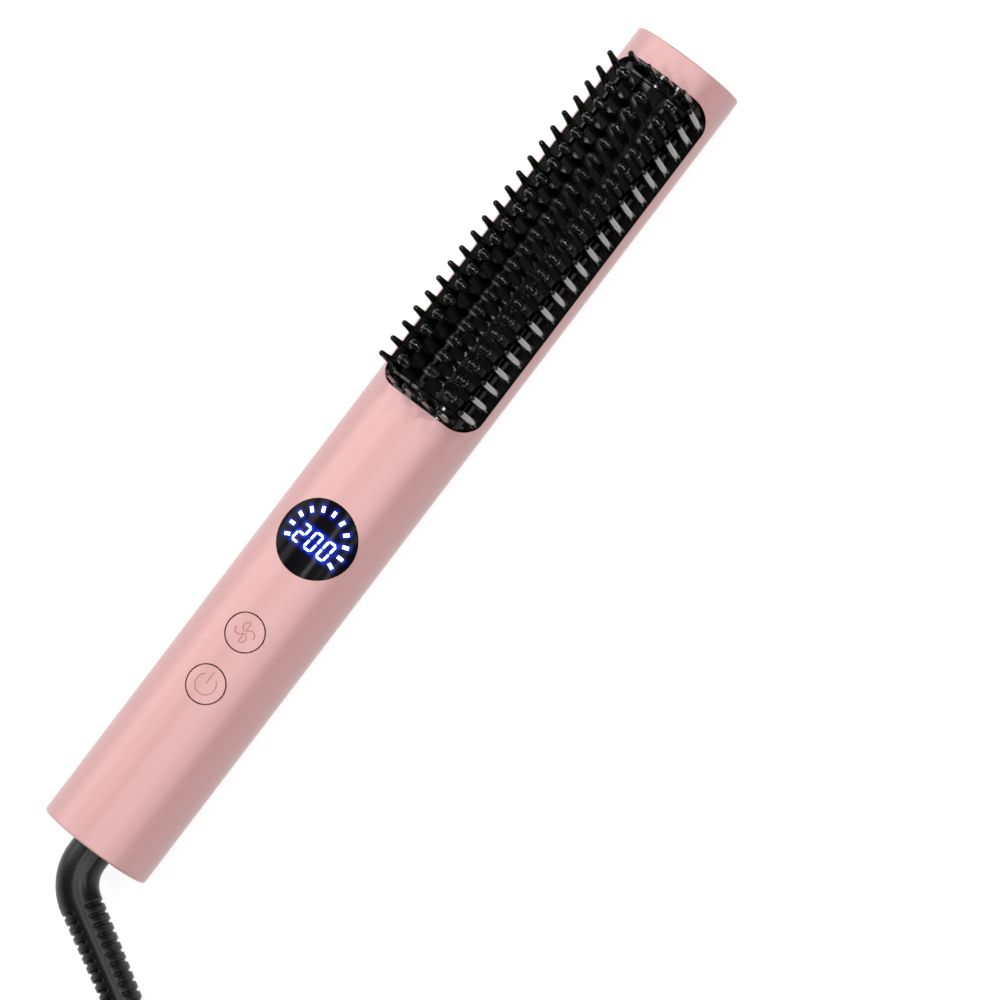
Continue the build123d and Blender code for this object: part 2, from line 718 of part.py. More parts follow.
board_block("terminal_block", terminal_station, 0, TERMINAL_SIZE, power_top)
board_block("film_capacitor", film_station, 0, FILM_SIZE, power_top)
board_block("transformer", transformer_station, 0, TRANSFORMER_SIZE, power_top)
board_block("triac", sink_station, 0, TRIAC_SIZE, power_top)
board_block("controller_chip", (FAN_BUTTON_STATION + DISPLAY_STATION) / 2, 0, CHIP_SIZE, panel_top)

with BuildPart() as smoothing_capacitor:
    with BuildSketch(across(capacitor_station)):
        with Locations((0, power_top + CAPACITOR_DIAMETER / 2)):
            Circle(CAPACITOR_DIAMETER / 2)
    extrude(amount=CAPACITOR_LENGTH)
finish(smoothing_capacitor, "smoothing_capacitor")

with BuildPart() as heat_sink:
    with BuildSketch(Plane.YZ.offset(along(sink_station) - SINK_SIZE[0] / 2)):
        with Locations((0, axis_height + power_top)):
            Rectangle(SINK_SIZE[1], SINK_SIZE[2], align=(Align.CENTER, Align.MIN))
            Rectangle(
                SINK_SIZE[1] - 2 * SINK_WALL,
                SINK_SIZE[2] - SINK_WALL / 3,
                align=(Align.CENTER, Align.MIN),
                mode=Mode.SUBTRACT,
            )
    extrude(amount=SINK_SIZE[0])
finish(heat_sink, "heat_sink")

with BuildPart() as board_header:
    with BuildSketch(level(power_top)):
        with Locations((along(header_station), 0)):
            Rectangle(*HEADER_SIZE)
    extrude(amount=PANEL_BOARD_BASE - power_top)
finish(board_header, "board_header")

# ---------------------------------------------------------------- display

with BuildPart() as display_lens:
    with BuildSketch(level(panel_top + MODULE_HEIGHT)):
        with Locations((along(DISPLAY_STATION), 0)):
            Circle(DISPLAY_DIAMETER / 2)
    extrude(amount=tube_radius)
    with BuildSketch(across(DISPLAY_STATION)):
        Circle(lens_radius)
    extrude(amount=DISPLAY_DIAMETER, both=True, mode=Mode.INTERSECT)
finish(display_lens, "display_lens")

with BuildPart() as display_module:
    with BuildSketch(level(panel_top)):
        with Locations((along(DISPLAY_STATION), 0)):
            Rectangle(MODULE_LENGTH, MODULE_WIDTH)
    extrude(amount=MODULE_HEIGHT)
finish(display_module, "display_module")

# ---------------------------------------------------------------- buttons

switch_top = panel_top + SWITCH_HEIGHT
flange_base = BUTTON_FLANGE_TOP - BUTTON_FLANGE_THICKNESS


def push_button(name, station):
    """A button, the switch plunger that moves with it, and the switch on the panel board."""
    with BuildPart() as cap:
        with BuildSketch(level(flange_base)):
            with Locations((along(station), 0)):
                Circle(BUTTON_DIAMETER / 2)
        extrude(amount=tube_radius)
        with BuildSketch(across(station)):
            Circle(tube_radius - BUTTON_SINK)
        extrude(amount=BUTTON_DIAMETER, both=True, mode=Mode.INTERSECT)
        with BuildSketch(level(flange_base)):
            with Locations((along(station), 0)):
                Rectangle(BUTTON_FLANGE, BUTTON_FLANGE)
        extrude(amount=BUTTON_FLANGE_THICKNESS)
    finish(cap, f"{name}_button")
    with BuildPart() as plunger:
        with BuildSketch(level(flange_base)):
            with Locations((along(station), 0)):
                Rectangle(PLUNGER_WIDTH, PLUNGER_WIDTH)
        extrude(amount=switch_top - PLUNGER_DEPTH - flange_base)
    finish(plunger, f"{name}_switch_plunger")
    with BuildPart() as switch:
        with BuildSketch(level(panel_top)):
            with Locations((along(station), 0)):
                Rectangle(SWITCH_SIZE, SWITCH_SIZE)
        extrude(amount=SWITCH_HEIGHT)
        with BuildSketch(level(switch_top)):
            with Locations((along(station), 0)):
                Rectangle(PLUNGER_WIDTH + 2 * CLEARANCE, PLUNGER_WIDTH + 2 * CLEARANCE)
        extrude(amount=-SWITCH_BORE_DEPTH, mode=Mode.SUBTRACT)
    finish(switch, f"{name}_switch")


push_button("power", POWER_BUTTON_STATION)
push_button("fan", FAN_BUTTON_STATION)

# ---------------------------------------------------------------- fan

motor_front = FAN_START + STRUT_THICKNESS + MOTOR_LENGTH
hub_start = motor_front + HUB_GAP
shaft_radius = SHAFT_DIAMETER / 2
strut_reach = sqrt((insert_radius - CLEARANCE) ** 2 - (STRUT_WIDTH / 2) ** 2)

with BuildPart() as motor_mount:
    with BuildSketch(across(FAN_START)):
        Circle(MOTOR_DIAMETER / 2)
        with PolarLocations(0, STRUTS, start_angle=45):
            Rectangle(strut_reach, STRUT_WIDTH, align=(Align.MIN, Align.CENTER))
    extrude(amount=STRUT_THICKNESS)
finish(motor_mount, "motor_mount")

with BuildPart() as fan_motor:
    with BuildSketch(across(motor_front)):
        Circle(MOTOR_DIAMETER / 2)
    extrude(amount=-MOTOR_LENGTH)
    with BuildSketch(across(motor_front)):
        Circle(shaft_radius + SHAFT_GAP)
    extrude(amount=-SHAFT_REACH - CLEARANCE, mode=Mode.SUBTRACT)
finish(fan_motor, "fan_motor")

with BuildPart() as motor_shaft:
    with BuildSketch(across(motor_front - SHAFT_REACH)):
        Circle(shaft_radius)
    extrude(amount=SHAFT_REACH + HUB_GAP + HUB_LENGTH)
finish(motor_shaft, "motor_shaft")

with BuildPart(across(hub_start)) as fan_impeller:
    with BuildSketch(across(hub_start)):
        RegularPolygon(HUB_DIAMETER / 2, FAN_BLADES)
    extrude(amount=HUB_LENGTH)
    with Locations((0, 0, HUB_LENGTH / 2)):
        with PolarLocations(0, FAN_BLADES, start_angle=180 / FAN_BLADES):
            with Locations((BLADE_TIP / 2, 0, 0)):
                Box(BLADE_TIP, BLADE_THICKNESS, BLADE_CHORD, rotation=(BLADE_PITCH, 0, 0))
    Cylinder(shaft_radius + CLEARANCE / 4, 4 * HUB_LENGTH, mode=Mode.SUBTRACT)
finish(fan_impeller, "fan_impeller")

# ---------------------------------------------------------------- strain relief and cord end

cord_radius = CORD_DIAMETER / 2
ribbed_length = RELIEF_STRAIGHT - RELIEF_CHAMFER
relief_taper = degrees(atan((RELIEF_ROOT - RELIEF_END) / 2 / ribbed_length))
neck_start = Vector(along(COVER_THICKNESS), 0, axis_height)

with BuildPart() as strain_relief:
    with BuildLine(mode=Mode.PRIVATE):
        bend_start = Vector(along(-RELIEF_NECK), 0, axis_height)
        bend = JernArc(start=bend_start, tangent=(-1, 0, 0), radius=ELBOW_RADIUS, arc_size=ELBOW_TURN)
    stops = [bend @ (step / ELBOW_STEPS) for step in range(ELBOW_STEPS + 1)]
    with BuildLine() as elbow:
        Polyline(neck_start, *stops)
    with BuildSketch(Plane(origin=neck_start, x_dir=(0, 1, 0), z_dir=(-1, 0, 0))):
        RegularPolygon(RELIEF_ROOT / 2, SOFT_SIDES)
    sweep(path=elbow.line, transition=Transition.RIGHT)
    elbow_end = bend @ 1
    outgoing = bend % 1
    sideways = outgoing.cross(Vector(0, 0, 1))
    with BuildSketch(Plane(origin=elbow_end, x_dir=sideways, z_dir=outgoing)):
        RegularPolygon(RELIEF_ROOT / 2, SOFT_SIDES)
    extrude(amount=ribbed_length, taper=relief_taper)
    relief_tip = elbow_end + outgoing * ribbed_length
    with BuildSketch(Plane(origin=relief_tip, x_dir=sideways, z_dir=outgoing)):
        RegularPolygon(RELIEF_END / 2, SOFT_SIDES)
    extrude(amount=RELIEF_CHAMFER, taper=45)
    with BuildSketch(across(COVER_THICKNESS)):
        Rectangle(RELIEF_FLANGE, RELIEF_FLANGE)
    extrude(amount=RELIEF_FLANGE_THICKNESS)
finish(strain_relief, "strain_relief")

tail_start = COVER_THICKNESS + RELIEF_FLANGE_THICKNESS

with BuildPart() as cord_tail:
    with BuildSketch(across(tail_start)):
        Circle(cord_radius)
    extrude(amount=TAIL_LENGTH)
finish(cord_tail, "cord_tail")

with BuildPart() as cord_grip:
    with BuildSketch(across(GRIP_START)):
        with Locations((0, DECK_TOP)):
            Rectangle(GRIP_WIDTH, GRIP_RISE - DECK_TOP, align=(Align.CENTER, Align.MIN))
        Circle(cord_radius + CLEARANCE / 2, mode=Mode.SUBTRACT)
    extrude(amount=GRIP_LENGTH)
finish(cord_grip, "cord_grip")

terminal_face = terminal_station - TERMINAL_SIZE[0] / 2

with BuildPart() as supply_leads:
    with BuildSketch(across(tail_start + TAIL_LENGTH)):
        with Locations((0, power_top + WIRE_DIAMETER)):
            with GridLocations(2 * WIRE_DIAMETER, 0, 2, 1):
                RegularPolygon(WIRE_DIAMETER / 2, WIRE_SIDES)
    extrude(amount=terminal_face - tail_start - TAIL_LENGTH)
finish(supply_leads, "supply_leads")


def rounded_route(points, radii):
    """A path of straight runs joined by tangent arcs."""
    with BuildLine() as path:
        FilletPolyline(*points, radius=radii)
    return path.line


def bend_radii(points):
    """The largest arc that fits at each corner: a share of the shorter run over tan(half the turn)."""
    corners = [Vector(*point) for point in points]
    radii = []
    for before, corner, after in zip(corners, corners[1:], corners[2:]):
        arriving = corner - before
        leaving = after - corner
        half_turn = radians(arriving.get_angle(leaving)) / 2
        radii.append(BEND_SHARE * min(arriving.length, leaving.length) / tan(half_turn))
    return radii


wire_radius = WIRE_DIAMETER / 2
wire_height = power_top + wire_radius
board_row = POWER_BOARD_WIDTH / 2 - wire_radius
board_end = POWER_BOARD_START + POWER_BOARD_LENGTH
wall_row = insert_radius - wire_radius - CLEARANCE
tray_start = head_middle - TRAY_LENGTH / 2
entry_row = TRAY_WIDTH / 2 - TRAY_WALL
entry_height = (RAIL_HEIGHT + PLATE_BASE) / 2

with BuildPart() as heater_leads:
    for side in (-1, 1):
        with BuildLine() as lead:
            Polyline(
                (along(board_end - 10), side * board_row, axis_height + wire_height),
                (along(chassis_end), side * board_row, axis_height + wire_height),
                (along(FAN_START + 2), side * wall_row, axis_height + wire_height),
                (along(hub_start + HUB_LENGTH + 1), side * wall_row, axis_height + wire_height),
                (along(tray_start) - LEAD_GAP, side * entry_row, axis_height + entry_height),
            )
        with BuildSketch(across(board_end - 10)):
            with Locations((side * board_row, wire_height)):
                RegularPolygon(wire_radius, WIRE_SIDES)
        sweep(path=lead.line, transition=Transition.RIGHT)
finish(heater_leads, "heater_leads")

# ---------------------------------------------------------------- cord, coil and plug

coil_outer = (COIL_OUTER_TURN + CORD_DIAMETER) / 2
coil_inner = coil_outer - TURNS_A_LAYER * CORD_DIAMETER
coil_height = COIL_LAYERS * CORD_DIAMETER
coil_middle = (coil_outer + coil_inner) / 2

with BuildPart() as cord:
    for name, route in (("cord", CORD_ROUTE), ("plug lead", LEAD_ROUTE)):
        radii = bend_radii(route)
        print(name, "bend radii", [round(radius, 1) for radius in radii])
        route_path = rounded_route(route, radii)
        with BuildSketch(Plane(origin=route_path @ 0, z_dir=route_path % 0)) as section:
            RegularPolygon(cord_radius, CORD_SIDES)
        sweep(path=route_path)
        route_length = sum(piece.length for piece in route_path.edges())
        print(name, "length", round(route_length, 1), "section", round(section.sketch.area, 2))
finish(cord, "cord")

with BuildPart() as cord_coil:
    with BuildSketch(Plane(origin=(*COIL_CENTRE, 0))):
        RegularPolygon(coil_outer, COIL_SIDES)
        RegularPolygon(coil_inner, COIL_SIDES, mode=Mode.SUBTRACT)
    extrude(amount=coil_height)
finish(cord_coil, "cord_coil")

with BuildPart() as coil_tie:
    tie_plane = Plane(
        origin=(COIL_CENTRE[0] + coil_middle, COIL_CENTRE[1], 0),
        x_dir=(1, 0, 0),
        z_dir=(0, 1, 0),
    )
    with BuildSketch(tie_plane):
        Rectangle(
            coil_outer - coil_inner + 2 * TIE_THICKNESS,
            coil_height + TIE_THICKNESS,
            align=(Align.CENTER, Align.MAX),
        )
        with Locations((0, -TIE_THICKNESS)):
            Rectangle(
                coil_outer - coil_inner - TIE_THICKNESS,
                coil_height - TIE_THICKNESS,
                align=(Align.CENTER, Align.MAX),
                mode=Mode.SUBTRACT,
            )
    extrude(amount=TIE_WIDTH / 2, both=True)
finish(coil_tie, "coil_tie")

plug_tail = Vector(*LEAD_ROUTE[-1])
plug_heading = (plug_tail - Vector(*LEAD_ROUTE[-2])).normalized()
plug_side = Vector(0, 0, 1).cross(plug_heading)


def plug_section(distance):
    """Plane square to the plug, at a distance from the end of its cord, local x sideways."""
    return Plane(origin=plug_tail + plug_heading * distance, x_dir=plug_side, z_dir=plug_heading)


with BuildPart() as plug_body:
    plug_start = plug_tail + plug_heading * PLUG_RELIEF_LENGTH
    with BuildSketch(Plane(origin=plug_start, x_dir=plug_heading, z_dir=(0, 0, 1))):
        with BuildLine():
            Polyline(
                (0, -PLUG_TAIL_WIDTH / 2),
                (PLUG_SHOULDER, -PLUG_WIDTH / 2),
                (PLUG_BODY_LENGTH, -PLUG_WIDTH / 2),
                (PLUG_BODY_LENGTH, PLUG_WIDTH / 2),
                (PLUG_SHOULDER, PLUG_WIDTH / 2),
                (0, PLUG_TAIL_WIDTH / 2),
                close=True,
            )
        make_face()
    extrude(amount=PLUG_HEIGHT / 2, both=True)
    chamfer(plug_body.faces().filter_by(Axis.Z).edges(), PLUG_EDGE)
    with BuildSketch(plug_section(0)):
        RegularPolygon(PLUG_RELIEF_END / 2, SOFT_SIDES)
    with BuildSketch(plug_section(PLUG_RELIEF_LENGTH)):
        RegularPolygon(PLUG_RELIEF_ROOT / 2, SOFT_SIDES)
    loft()
    with BuildSketch(plug_section(PLUG_RELIEF_LENGTH + PLUG_BODY_LENGTH)):
        with GridLocations(BLADE_SPACING, 0, 2, 1):
            Rectangle(BLADE_SIZE[0] + CLEARANCE, BLADE_SIZE[1] + CLEARANCE)
    extrude(amount=-BLADE_ROOT, mode=Mode.SUBTRACT)
finish(plug_body, "plug_body")

with BuildPart() as plug_blades:
    with BuildSketch(plug_section(PLUG_RELIEF_LENGTH + PLUG_BODY_LENGTH - BLADE_ROOT)):
        with GridLocations(BLADE_SPACING, 0, 2, 1):
            Rectangle(*BLADE_SIZE)
    extrude(amount=BLADE_ROOT + BLADE_LENGTH)
finish(plug_blades, "plug_blades")
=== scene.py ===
"""Looks of a heated straightening brush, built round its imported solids."""

import logging
import math
from dataclasses import dataclass
from enum import Enum

import bmesh
import bpy
from mathutils import Matrix, Vector


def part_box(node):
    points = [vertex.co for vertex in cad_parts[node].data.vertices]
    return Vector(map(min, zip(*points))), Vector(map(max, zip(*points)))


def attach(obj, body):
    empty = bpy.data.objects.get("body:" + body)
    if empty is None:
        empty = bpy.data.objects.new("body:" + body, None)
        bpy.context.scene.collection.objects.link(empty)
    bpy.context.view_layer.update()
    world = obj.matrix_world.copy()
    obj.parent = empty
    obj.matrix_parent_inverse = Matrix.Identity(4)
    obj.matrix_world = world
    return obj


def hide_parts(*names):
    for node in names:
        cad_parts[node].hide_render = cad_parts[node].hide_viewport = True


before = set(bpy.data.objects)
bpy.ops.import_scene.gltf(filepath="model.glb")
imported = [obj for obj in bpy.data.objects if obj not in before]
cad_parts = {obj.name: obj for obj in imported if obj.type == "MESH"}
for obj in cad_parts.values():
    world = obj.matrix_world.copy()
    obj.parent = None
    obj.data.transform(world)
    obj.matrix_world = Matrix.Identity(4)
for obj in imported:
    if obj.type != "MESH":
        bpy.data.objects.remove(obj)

log = logging.getLogger("brush")

MM = 0.001
BRUSH = "brush"
TUBE_LOW, TUBE_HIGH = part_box("body_tube")
AXIS_HEIGHT = (TUBE_LOW.z + TUBE_HIGH.z) / 2
TUBE_RADIUS = (TUBE_HIGH.z - TUBE_LOW.z) / 2
CORD_END = TUBE_LOW.x

Colour = tuple[float, float, float]
Ring = list[Vector]
Flat = tuple[float, float]
Line = tuple[Flat, Flat]


# ---------------------------------------------------------------- finishes

FINE_DETAIL = 3.0
BROAD_DETAIL = 2.0
BROAD_SCALE = 45.0


def math_node(
    tree: bpy.types.NodeTree, operation: str, *given: bpy.types.NodeSocket | float
) -> bpy.types.NodeSocket:
    """Adds a node that works out a number.

    Args:
        tree: The node tree that it goes into.
        operation: What it does.
        given: A socket or a number for each of its inputs.

    Returns:
        Its output.
    """
    node = tree.nodes.new("ShaderNodeMath")
    node.operation = operation
    for socket, value in zip(node.inputs, given):
        if isinstance(value, float):
            socket.default_value = value
        else:
            tree.links.new(value, socket)
    return node.outputs[0]


def grain_group() -> bpy.types.NodeTree:
    """Fine grain that mottles a colour, varies its roughness and gives a bump height.

    Returns:
        The node group, made once and shared by every finish.
    """
    found = bpy.data.node_groups.get("surface_grain")
    if found:
        return found
    group = bpy.data.node_groups.new("surface_grain", "ShaderNodeTree")
    face = group.interface
    colour = face.new_socket("Colour", in_out="INPUT", socket_type="NodeSocketColor")
    colour.default_value = (0.5, 0.5, 0.5, 1.0)
    for name in ("Mottle", "Scale", "Roughness", "Roughness Spread", "Stretch"):
        face.new_socket(name, in_out="INPUT", socket_type="NodeSocketFloat")
    face.new_socket("Colour", in_out="OUTPUT", socket_type="NodeSocketColor")
    face.new_socket("Roughness", in_out="OUTPUT", socket_type="NodeSocketFloat")
    face.new_socket("Height", in_out="OUTPUT", socket_type="NodeSocketFloat")
    nodes, links = group.nodes, group.links
    given = nodes.new("NodeGroupInput").outputs
    made = nodes.new("NodeGroupOutput").inputs
    place = nodes.new("ShaderNodeTexCoord").outputs["Object"]
    along = nodes.new("ShaderNodeCombineXYZ")
    along.inputs["Y"].default_value = 1.0
    along.inputs["Z"].default_value = 1.0
    links.new(given["Stretch"], along.inputs["X"])
    stretch = nodes.new("ShaderNodeVectorMath")
    stretch.operation = "MULTIPLY"
    links.new(place, stretch.inputs[0])
    links.new(along.outputs[0], stretch.inputs[1])
    fine = nodes.new("ShaderNodeTexNoise")
    fine.inputs["Detail"].default_value = FINE_DETAIL
    links.new(stretch.outputs[0], fine.inputs["Vector"])
    links.new(given["Scale"], fine.inputs["Scale"])
    broad = nodes.new("ShaderNodeTexNoise")
    broad.inputs["Scale"].default_value = BROAD_SCALE
    broad.inputs["Detail"].default_value = BROAD_DETAIL
    links.new(place, broad.inputs["Vector"])
    both = math_node(group, "ADD", fine.outputs["Fac"], broad.outputs["Fac"])
    centred = math_node(group, "SUBTRACT", both, 1.0)
    shade = math_node(group, "MULTIPLY_ADD", centred, given["Mottle"], 1.0)
    tint = nodes.new("ShaderNodeVectorMath")
    tint.operation = "SCALE"
    links.new(given["Colour"], tint.inputs[0])
    links.new(shade, tint.inputs["Scale"])
    rough = math_node(group, "MULTIPLY_ADD", centred, given["Roughness Spread"], given["Roughness"])
    rough.node.use_clamp = True
    links.new(tint.outputs[0], made["Colour"])
    links.new(rough, made["Roughness"])
    links.new(fine.outputs["Fac"], made["Height"])
    return group


@dataclass(frozen=True)
class Finish:
    """A surface finish: a colour with a fine grain under an optional clear coat."""

    name: str
    slot: str
    colour: Colour
    roughness: float
    metallic: float = 0.0
    coat: float = 0.0
    coat_roughness: float = 0.08
    specular: float = 0.5
    mottle: float = 0.06
    grain_scale: float = 1800.0
    roughness_spread: float = 0.08
    relief: float = 0.0
    stretch: float = 1.0
    glow: float = 0.0

    def material(self) -> bpy.types.Material:
        """The finish as a material, made at its first use.

        Returns:
            The material of this finish's name.
        """
        found = bpy.data.materials.get(self.name)
        if found:
            return found
        made = bpy.data.materials.new(self.name)
        made.use_nodes = True
        nodes, links = made.node_tree.nodes, made.node_tree.links
        shader = nodes["Principled BSDF"]
        grain = nodes.new("ShaderNodeGroup")
        grain.node_tree = grain_group()
        grain.inputs["Colour"].default_value = (*self.colour, 1.0)
        grain.inputs["Mottle"].default_value = self.mottle
        grain.inputs["Scale"].default_value = self.grain_scale
        grain.inputs["Roughness"].default_value = self.roughness
        grain.inputs["Roughness Spread"].default_value = self.roughness_spread
        grain.inputs["Stretch"].default_value = self.stretch
        links.new(grain.outputs["Colour"], shader.inputs["Base Color"])
        links.new(grain.outputs["Roughness"], shader.inputs["Roughness"])
        shader.inputs["Metallic"].default_value = self.metallic
        shader.inputs["Specular IOR Level"].default_value = self.specular
        shader.inputs["Coat Weight"].default_value = self.coat
        shader.inputs["Coat Roughness"].default_value = self.coat_roughness
        if self.relief:
            bump = nodes.new("ShaderNodeBump")
            bump.inputs["Strength"].default_value = 1.0
            bump.inputs["Distance"].default_value = self.relief
            links.new(grain.outputs["Height"], bump.inputs["Height"])
            links.new(bump.outputs["Normal"], shader.inputs["Normal"])
        if self.glow:
            links.new(grain.outputs["Colour"], shader.inputs["Emission Color"])
            shader.inputs["Emission Strength"].default_value = self.glow
        return made

    def dress(self, piece: bpy.types.Object) -> None:
        """Puts the finish on a piece, in place of what it had.

        Args:
            piece: The mesh or curve object.
        """
        piece.data.materials.clear()
        piece.data.materials.append(self.material())


SHELL = Finish("rose_shell", "shell", (0.655, 0.36, 0.355), 0.45, metallic=0.15, coat=1.0,
               coat_roughness=0.36, specular=0.1, mottle=0.05, grain_scale=2600.0, relief=2.0e-6)
COVERS = Finish("rose_cover", "covers", (0.67, 0.355, 0.35), 0.5, metallic=0.1, mottle=0.05)
PLUGS = Finish("rose_rubber_plug", "plugs", (0.72, 0.42, 0.41), 0.55, mottle=0.05)
BUTTONS = Finish("rose_button", "buttons", (0.655, 0.36, 0.355), 0.45, metallic=0.15, coat=1.0,
                 coat_roughness=0.36, specular=0.1, mottle=0.05, grain_scale=2600.0)
# Dark maroon ring sunk in the gap round each button: painted shade of the gap, not a part of its own.
GAP_SHADE = Finish("button_seal", "buttons", (0.24, 0.002, 0.01), 0.7, specular=0.1, mottle=0.1)
# Darker pink of the buttons' signs, laid flat on their tops: painted shade of the engraved grooves.
ENGRAVING_SHADE = Finish("engraved_line_painted_shade", "buttons", (0.42, 0.17, 0.17), 0.5, metallic=0.2)
MOULDING = Finish("black_moulding", "black_gloss", (0.001, 0.001, 0.001), 0.13, specular=0.35,
                  mottle=0.15, roughness_spread=0.05)
TIPS = Finish("black_tip", "black_gloss", (0.001, 0.001, 0.001), 0.09, specular=0.35,
              mottle=0.15, roughness_spread=0.03)
COATING = Finish("ceramic_coating", "heated", (0.001, 0.001, 0.001), 0.13, specular=0.35,
                 mottle=0.2, roughness_spread=0.05)
LENS = Finish("display_window", "lens", (0.002, 0.002, 0.003), 0.20, specular=0.08, mottle=0.1,
              roughness_spread=0.03)
LIT = Finish("lit_segment", "lens", (0.62, 0.80, 1.0), 0.3, mottle=0.04, glow=1.6)
RELIEF = Finish("relief_rubber", "relief", (0.004, 0.004, 0.004), 0.33, specular=0.35,
                mottle=0.2, grain_scale=2200.0, roughness_spread=0.08, relief=3.0e-6)
CORD = Finish("cord_sheath", "cord", (0.010, 0.010, 0.010), 0.45, mottle=0.2, relief=4.0e-6)
TIE = Finish("tie_strap", "black_matt", (0.02, 0.02, 0.02), 0.8, mottle=0.3, grain_scale=3500.0,
             relief=4.0e-5)
NICKEL = Finish("nickel_plate", "pins", (0.82, 0.80, 0.76), 0.18, metallic=1.0, mottle=0.04,
                stretch=0.05, grain_scale=4000.0)
INNER_PLASTIC = Finish("inner_plastic", "black_matt", (0.03, 0.03, 0.03), 0.6, mottle=0.2,
                       relief=1.0e-5)
BOARD = Finish("board_mask", "board", (0.02, 0.14, 0.06), 0.45, mottle=0.3, grain_scale=700.0)
STEEL = Finish("plain_steel", "steel", (0.55, 0.55, 0.56), 0.32, metallic=1.0, stretch=0.08)
ALUMINIUM = Finish("extruded_aluminium", "clamp", (0.75, 0.75, 0.76), 0.38, metallic=1.0,
                   stretch=0.04)
CERAMIC = Finish("white_ceramic", "ceramic_white", (0.82, 0.80, 0.76), 0.5, mottle=0.08,
                 relief=1.0e-5)
AMBER = Finish("amber_film", "amber", (0.62, 0.24, 0.05), 0.3, mottle=0.12)
MICA = Finish("mica_sheet", "mica", (0.62, 0.48, 0.30), 0.45, mottle=0.4, grain_scale=500.0)
NYLON = Finish("white_nylon", "white", (0.80, 0.79, 0.75), 0.5, mottle=0.05)
YELLOW = Finish("yellow_case", "yellow", (0.75, 0.52, 0.06), 0.3, mottle=0.08)
COPPER = Finish("enamelled_winding", "copper", (0.55, 0.25, 0.08), 0.3, metallic=0.6,
                mottle=0.3, grain_scale=900.0)
WIRE = Finish("silicone_lead", "leads", (0.55, 0.03, 0.02), 0.5, mottle=0.1)
SCREEN = Finish("display_body", "display", (0.03, 0.03, 0.035), 0.5, mottle=0.2)

NODE_FINISHES: dict[Finish, tuple[str, ...]] = {
    SHELL: ("body_tube",),
    COVERS: ("tip_cover", "cord_cover"),
    PLUGS: ("screw_plugs",),
    BUTTONS: ("power_button", "fan_button"),
    COATING: ("heating_plate", "heating_fins"),
    MOULDING: ("bristle_frame",),
    LENS: ("display_lens",),
    SCREEN: ("display_module",),
    MICA: ("insulation_sheet",),
    CERAMIC: ("heating_elements", "thermal_fuse", "temperature_sensor"),
    ALUMINIUM: ("heater_clamp", "heat_sink"),
    AMBER: ("heat_shield",),
    INNER_PLASTIC: ("heater_tray", "chassis", "motor_mount", "cord_grip", "power_switch",
                    "fan_switch", "controller_chip", "triac", "board_header",
                    "smoothing_capacitor"),
    BOARD: ("power_board", "panel_board"),
    STEEL: ("case_screws", "fan_motor", "motor_shaft"),
    NYLON: ("terminal_block", "fan_impeller", "power_switch_plunger", "fan_switch_plunger"),
    YELLOW: ("film_capacitor",),
    COPPER: ("transformer",),
    WIRE: ("supply_leads", "heater_leads"),
    CORD: ("cord_tail",),
    NICKEL: ("plug_blades",),
}


# ---------------------------------------------------------------- mesh tools


class MeshDraft:
    """Vertices and faces gathered for one piece."""

    def __init__(self) -> None:
        """Starts empty."""
        self.vertices: list[Vector] = []
        self.faces: list[tuple[int, ...]] = []

    def add_rings(self, rings: list[Ring], looped: bool = False) -> None:
        """Skins a stack of closed rings of equal size.

        Args:
            rings: The rings, each a list of the same number of points.
            looped: Whether the last ring joins the first, instead of both ends being closed.
        """
        start = len(self.vertices)
        sides = len(rings[0])
        for ring in rings:
            self.vertices.extend(ring)
        for level in range(len(rings) if looped else len(rings) - 1):
            low = start + level * sides
            high = start + (level + 1) % len(rings) * sides
            for side in range(sides):
                after = (side + 1) % sides
                self.faces.append((low + side, low + after, high + after, high + side))
        if looped:
            return
        last = start + (len(rings) - 1) * sides
        self.faces.append(tuple(start + side for side in reversed(range(sides))))
        self.faces.append(tuple(last + side for side in range(sides)))

    def add_polygon(self, corners: list[Vector]) -> None:
        """Adds one flat face.

        Args:
            corners: Its corners in order.
        """
        start = len(self.vertices)
        self.vertices.extend(corners)
        self.faces.append(tuple(range(start, start + len(corners))))

    def piece(self, name: str, finish: Finish, body: str = BRUSH, sharp: float = 35.0) -> bpy.types.Object:
        """Makes the object, dresses it and lets it ride on a body.

        Args:
            name: The piece's name.
            finish: Its finish.
            body: The CAD body that it moves with.
            sharp: The angle in degrees above which an edge stays sharp.

        Returns:
            The new object.
        """
        mesh = bpy.data.meshes.new(name)
        mesh.from_pydata([tuple(v) for v in self.vertices], [], self.faces)
        mesh.update()
        return place_mesh(name, mesh, finish, body, sharp)


def soften(mesh: bpy.types.Mesh, sharp: float = 35.0) -> None:
    """Shades a mesh smooth except across sharp edges.

    Args:
        mesh: The mesh.
        sharp: The angle in degrees above which an edge stays sharp.
    """
    mesh.shade_smooth()
    mesh.set_sharp_from_angle(angle=math.radians(sharp))


def place_mesh(
    name: str, mesh: bpy.types.Mesh, finish: Finish, body: str = BRUSH, sharp: float = 35.0
) -> bpy.types.Object:
    """Makes an object of a mesh, dresses it and lets it ride on a body.

    Args:
        name: The piece's name.
        mesh: Its mesh, in the part's own frame.
        finish: Its finish.
        body: The CAD body that it moves with.
        sharp: The angle in degrees above which an edge stays sharp.

    Returns:
        The new object.
    """
    soften(mesh, sharp)
    made = bpy.data.objects.new(name, mesh)
    bpy.context.scene.collection.objects.link(made)
    finish.dress(made)
    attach(made, body)
    return made


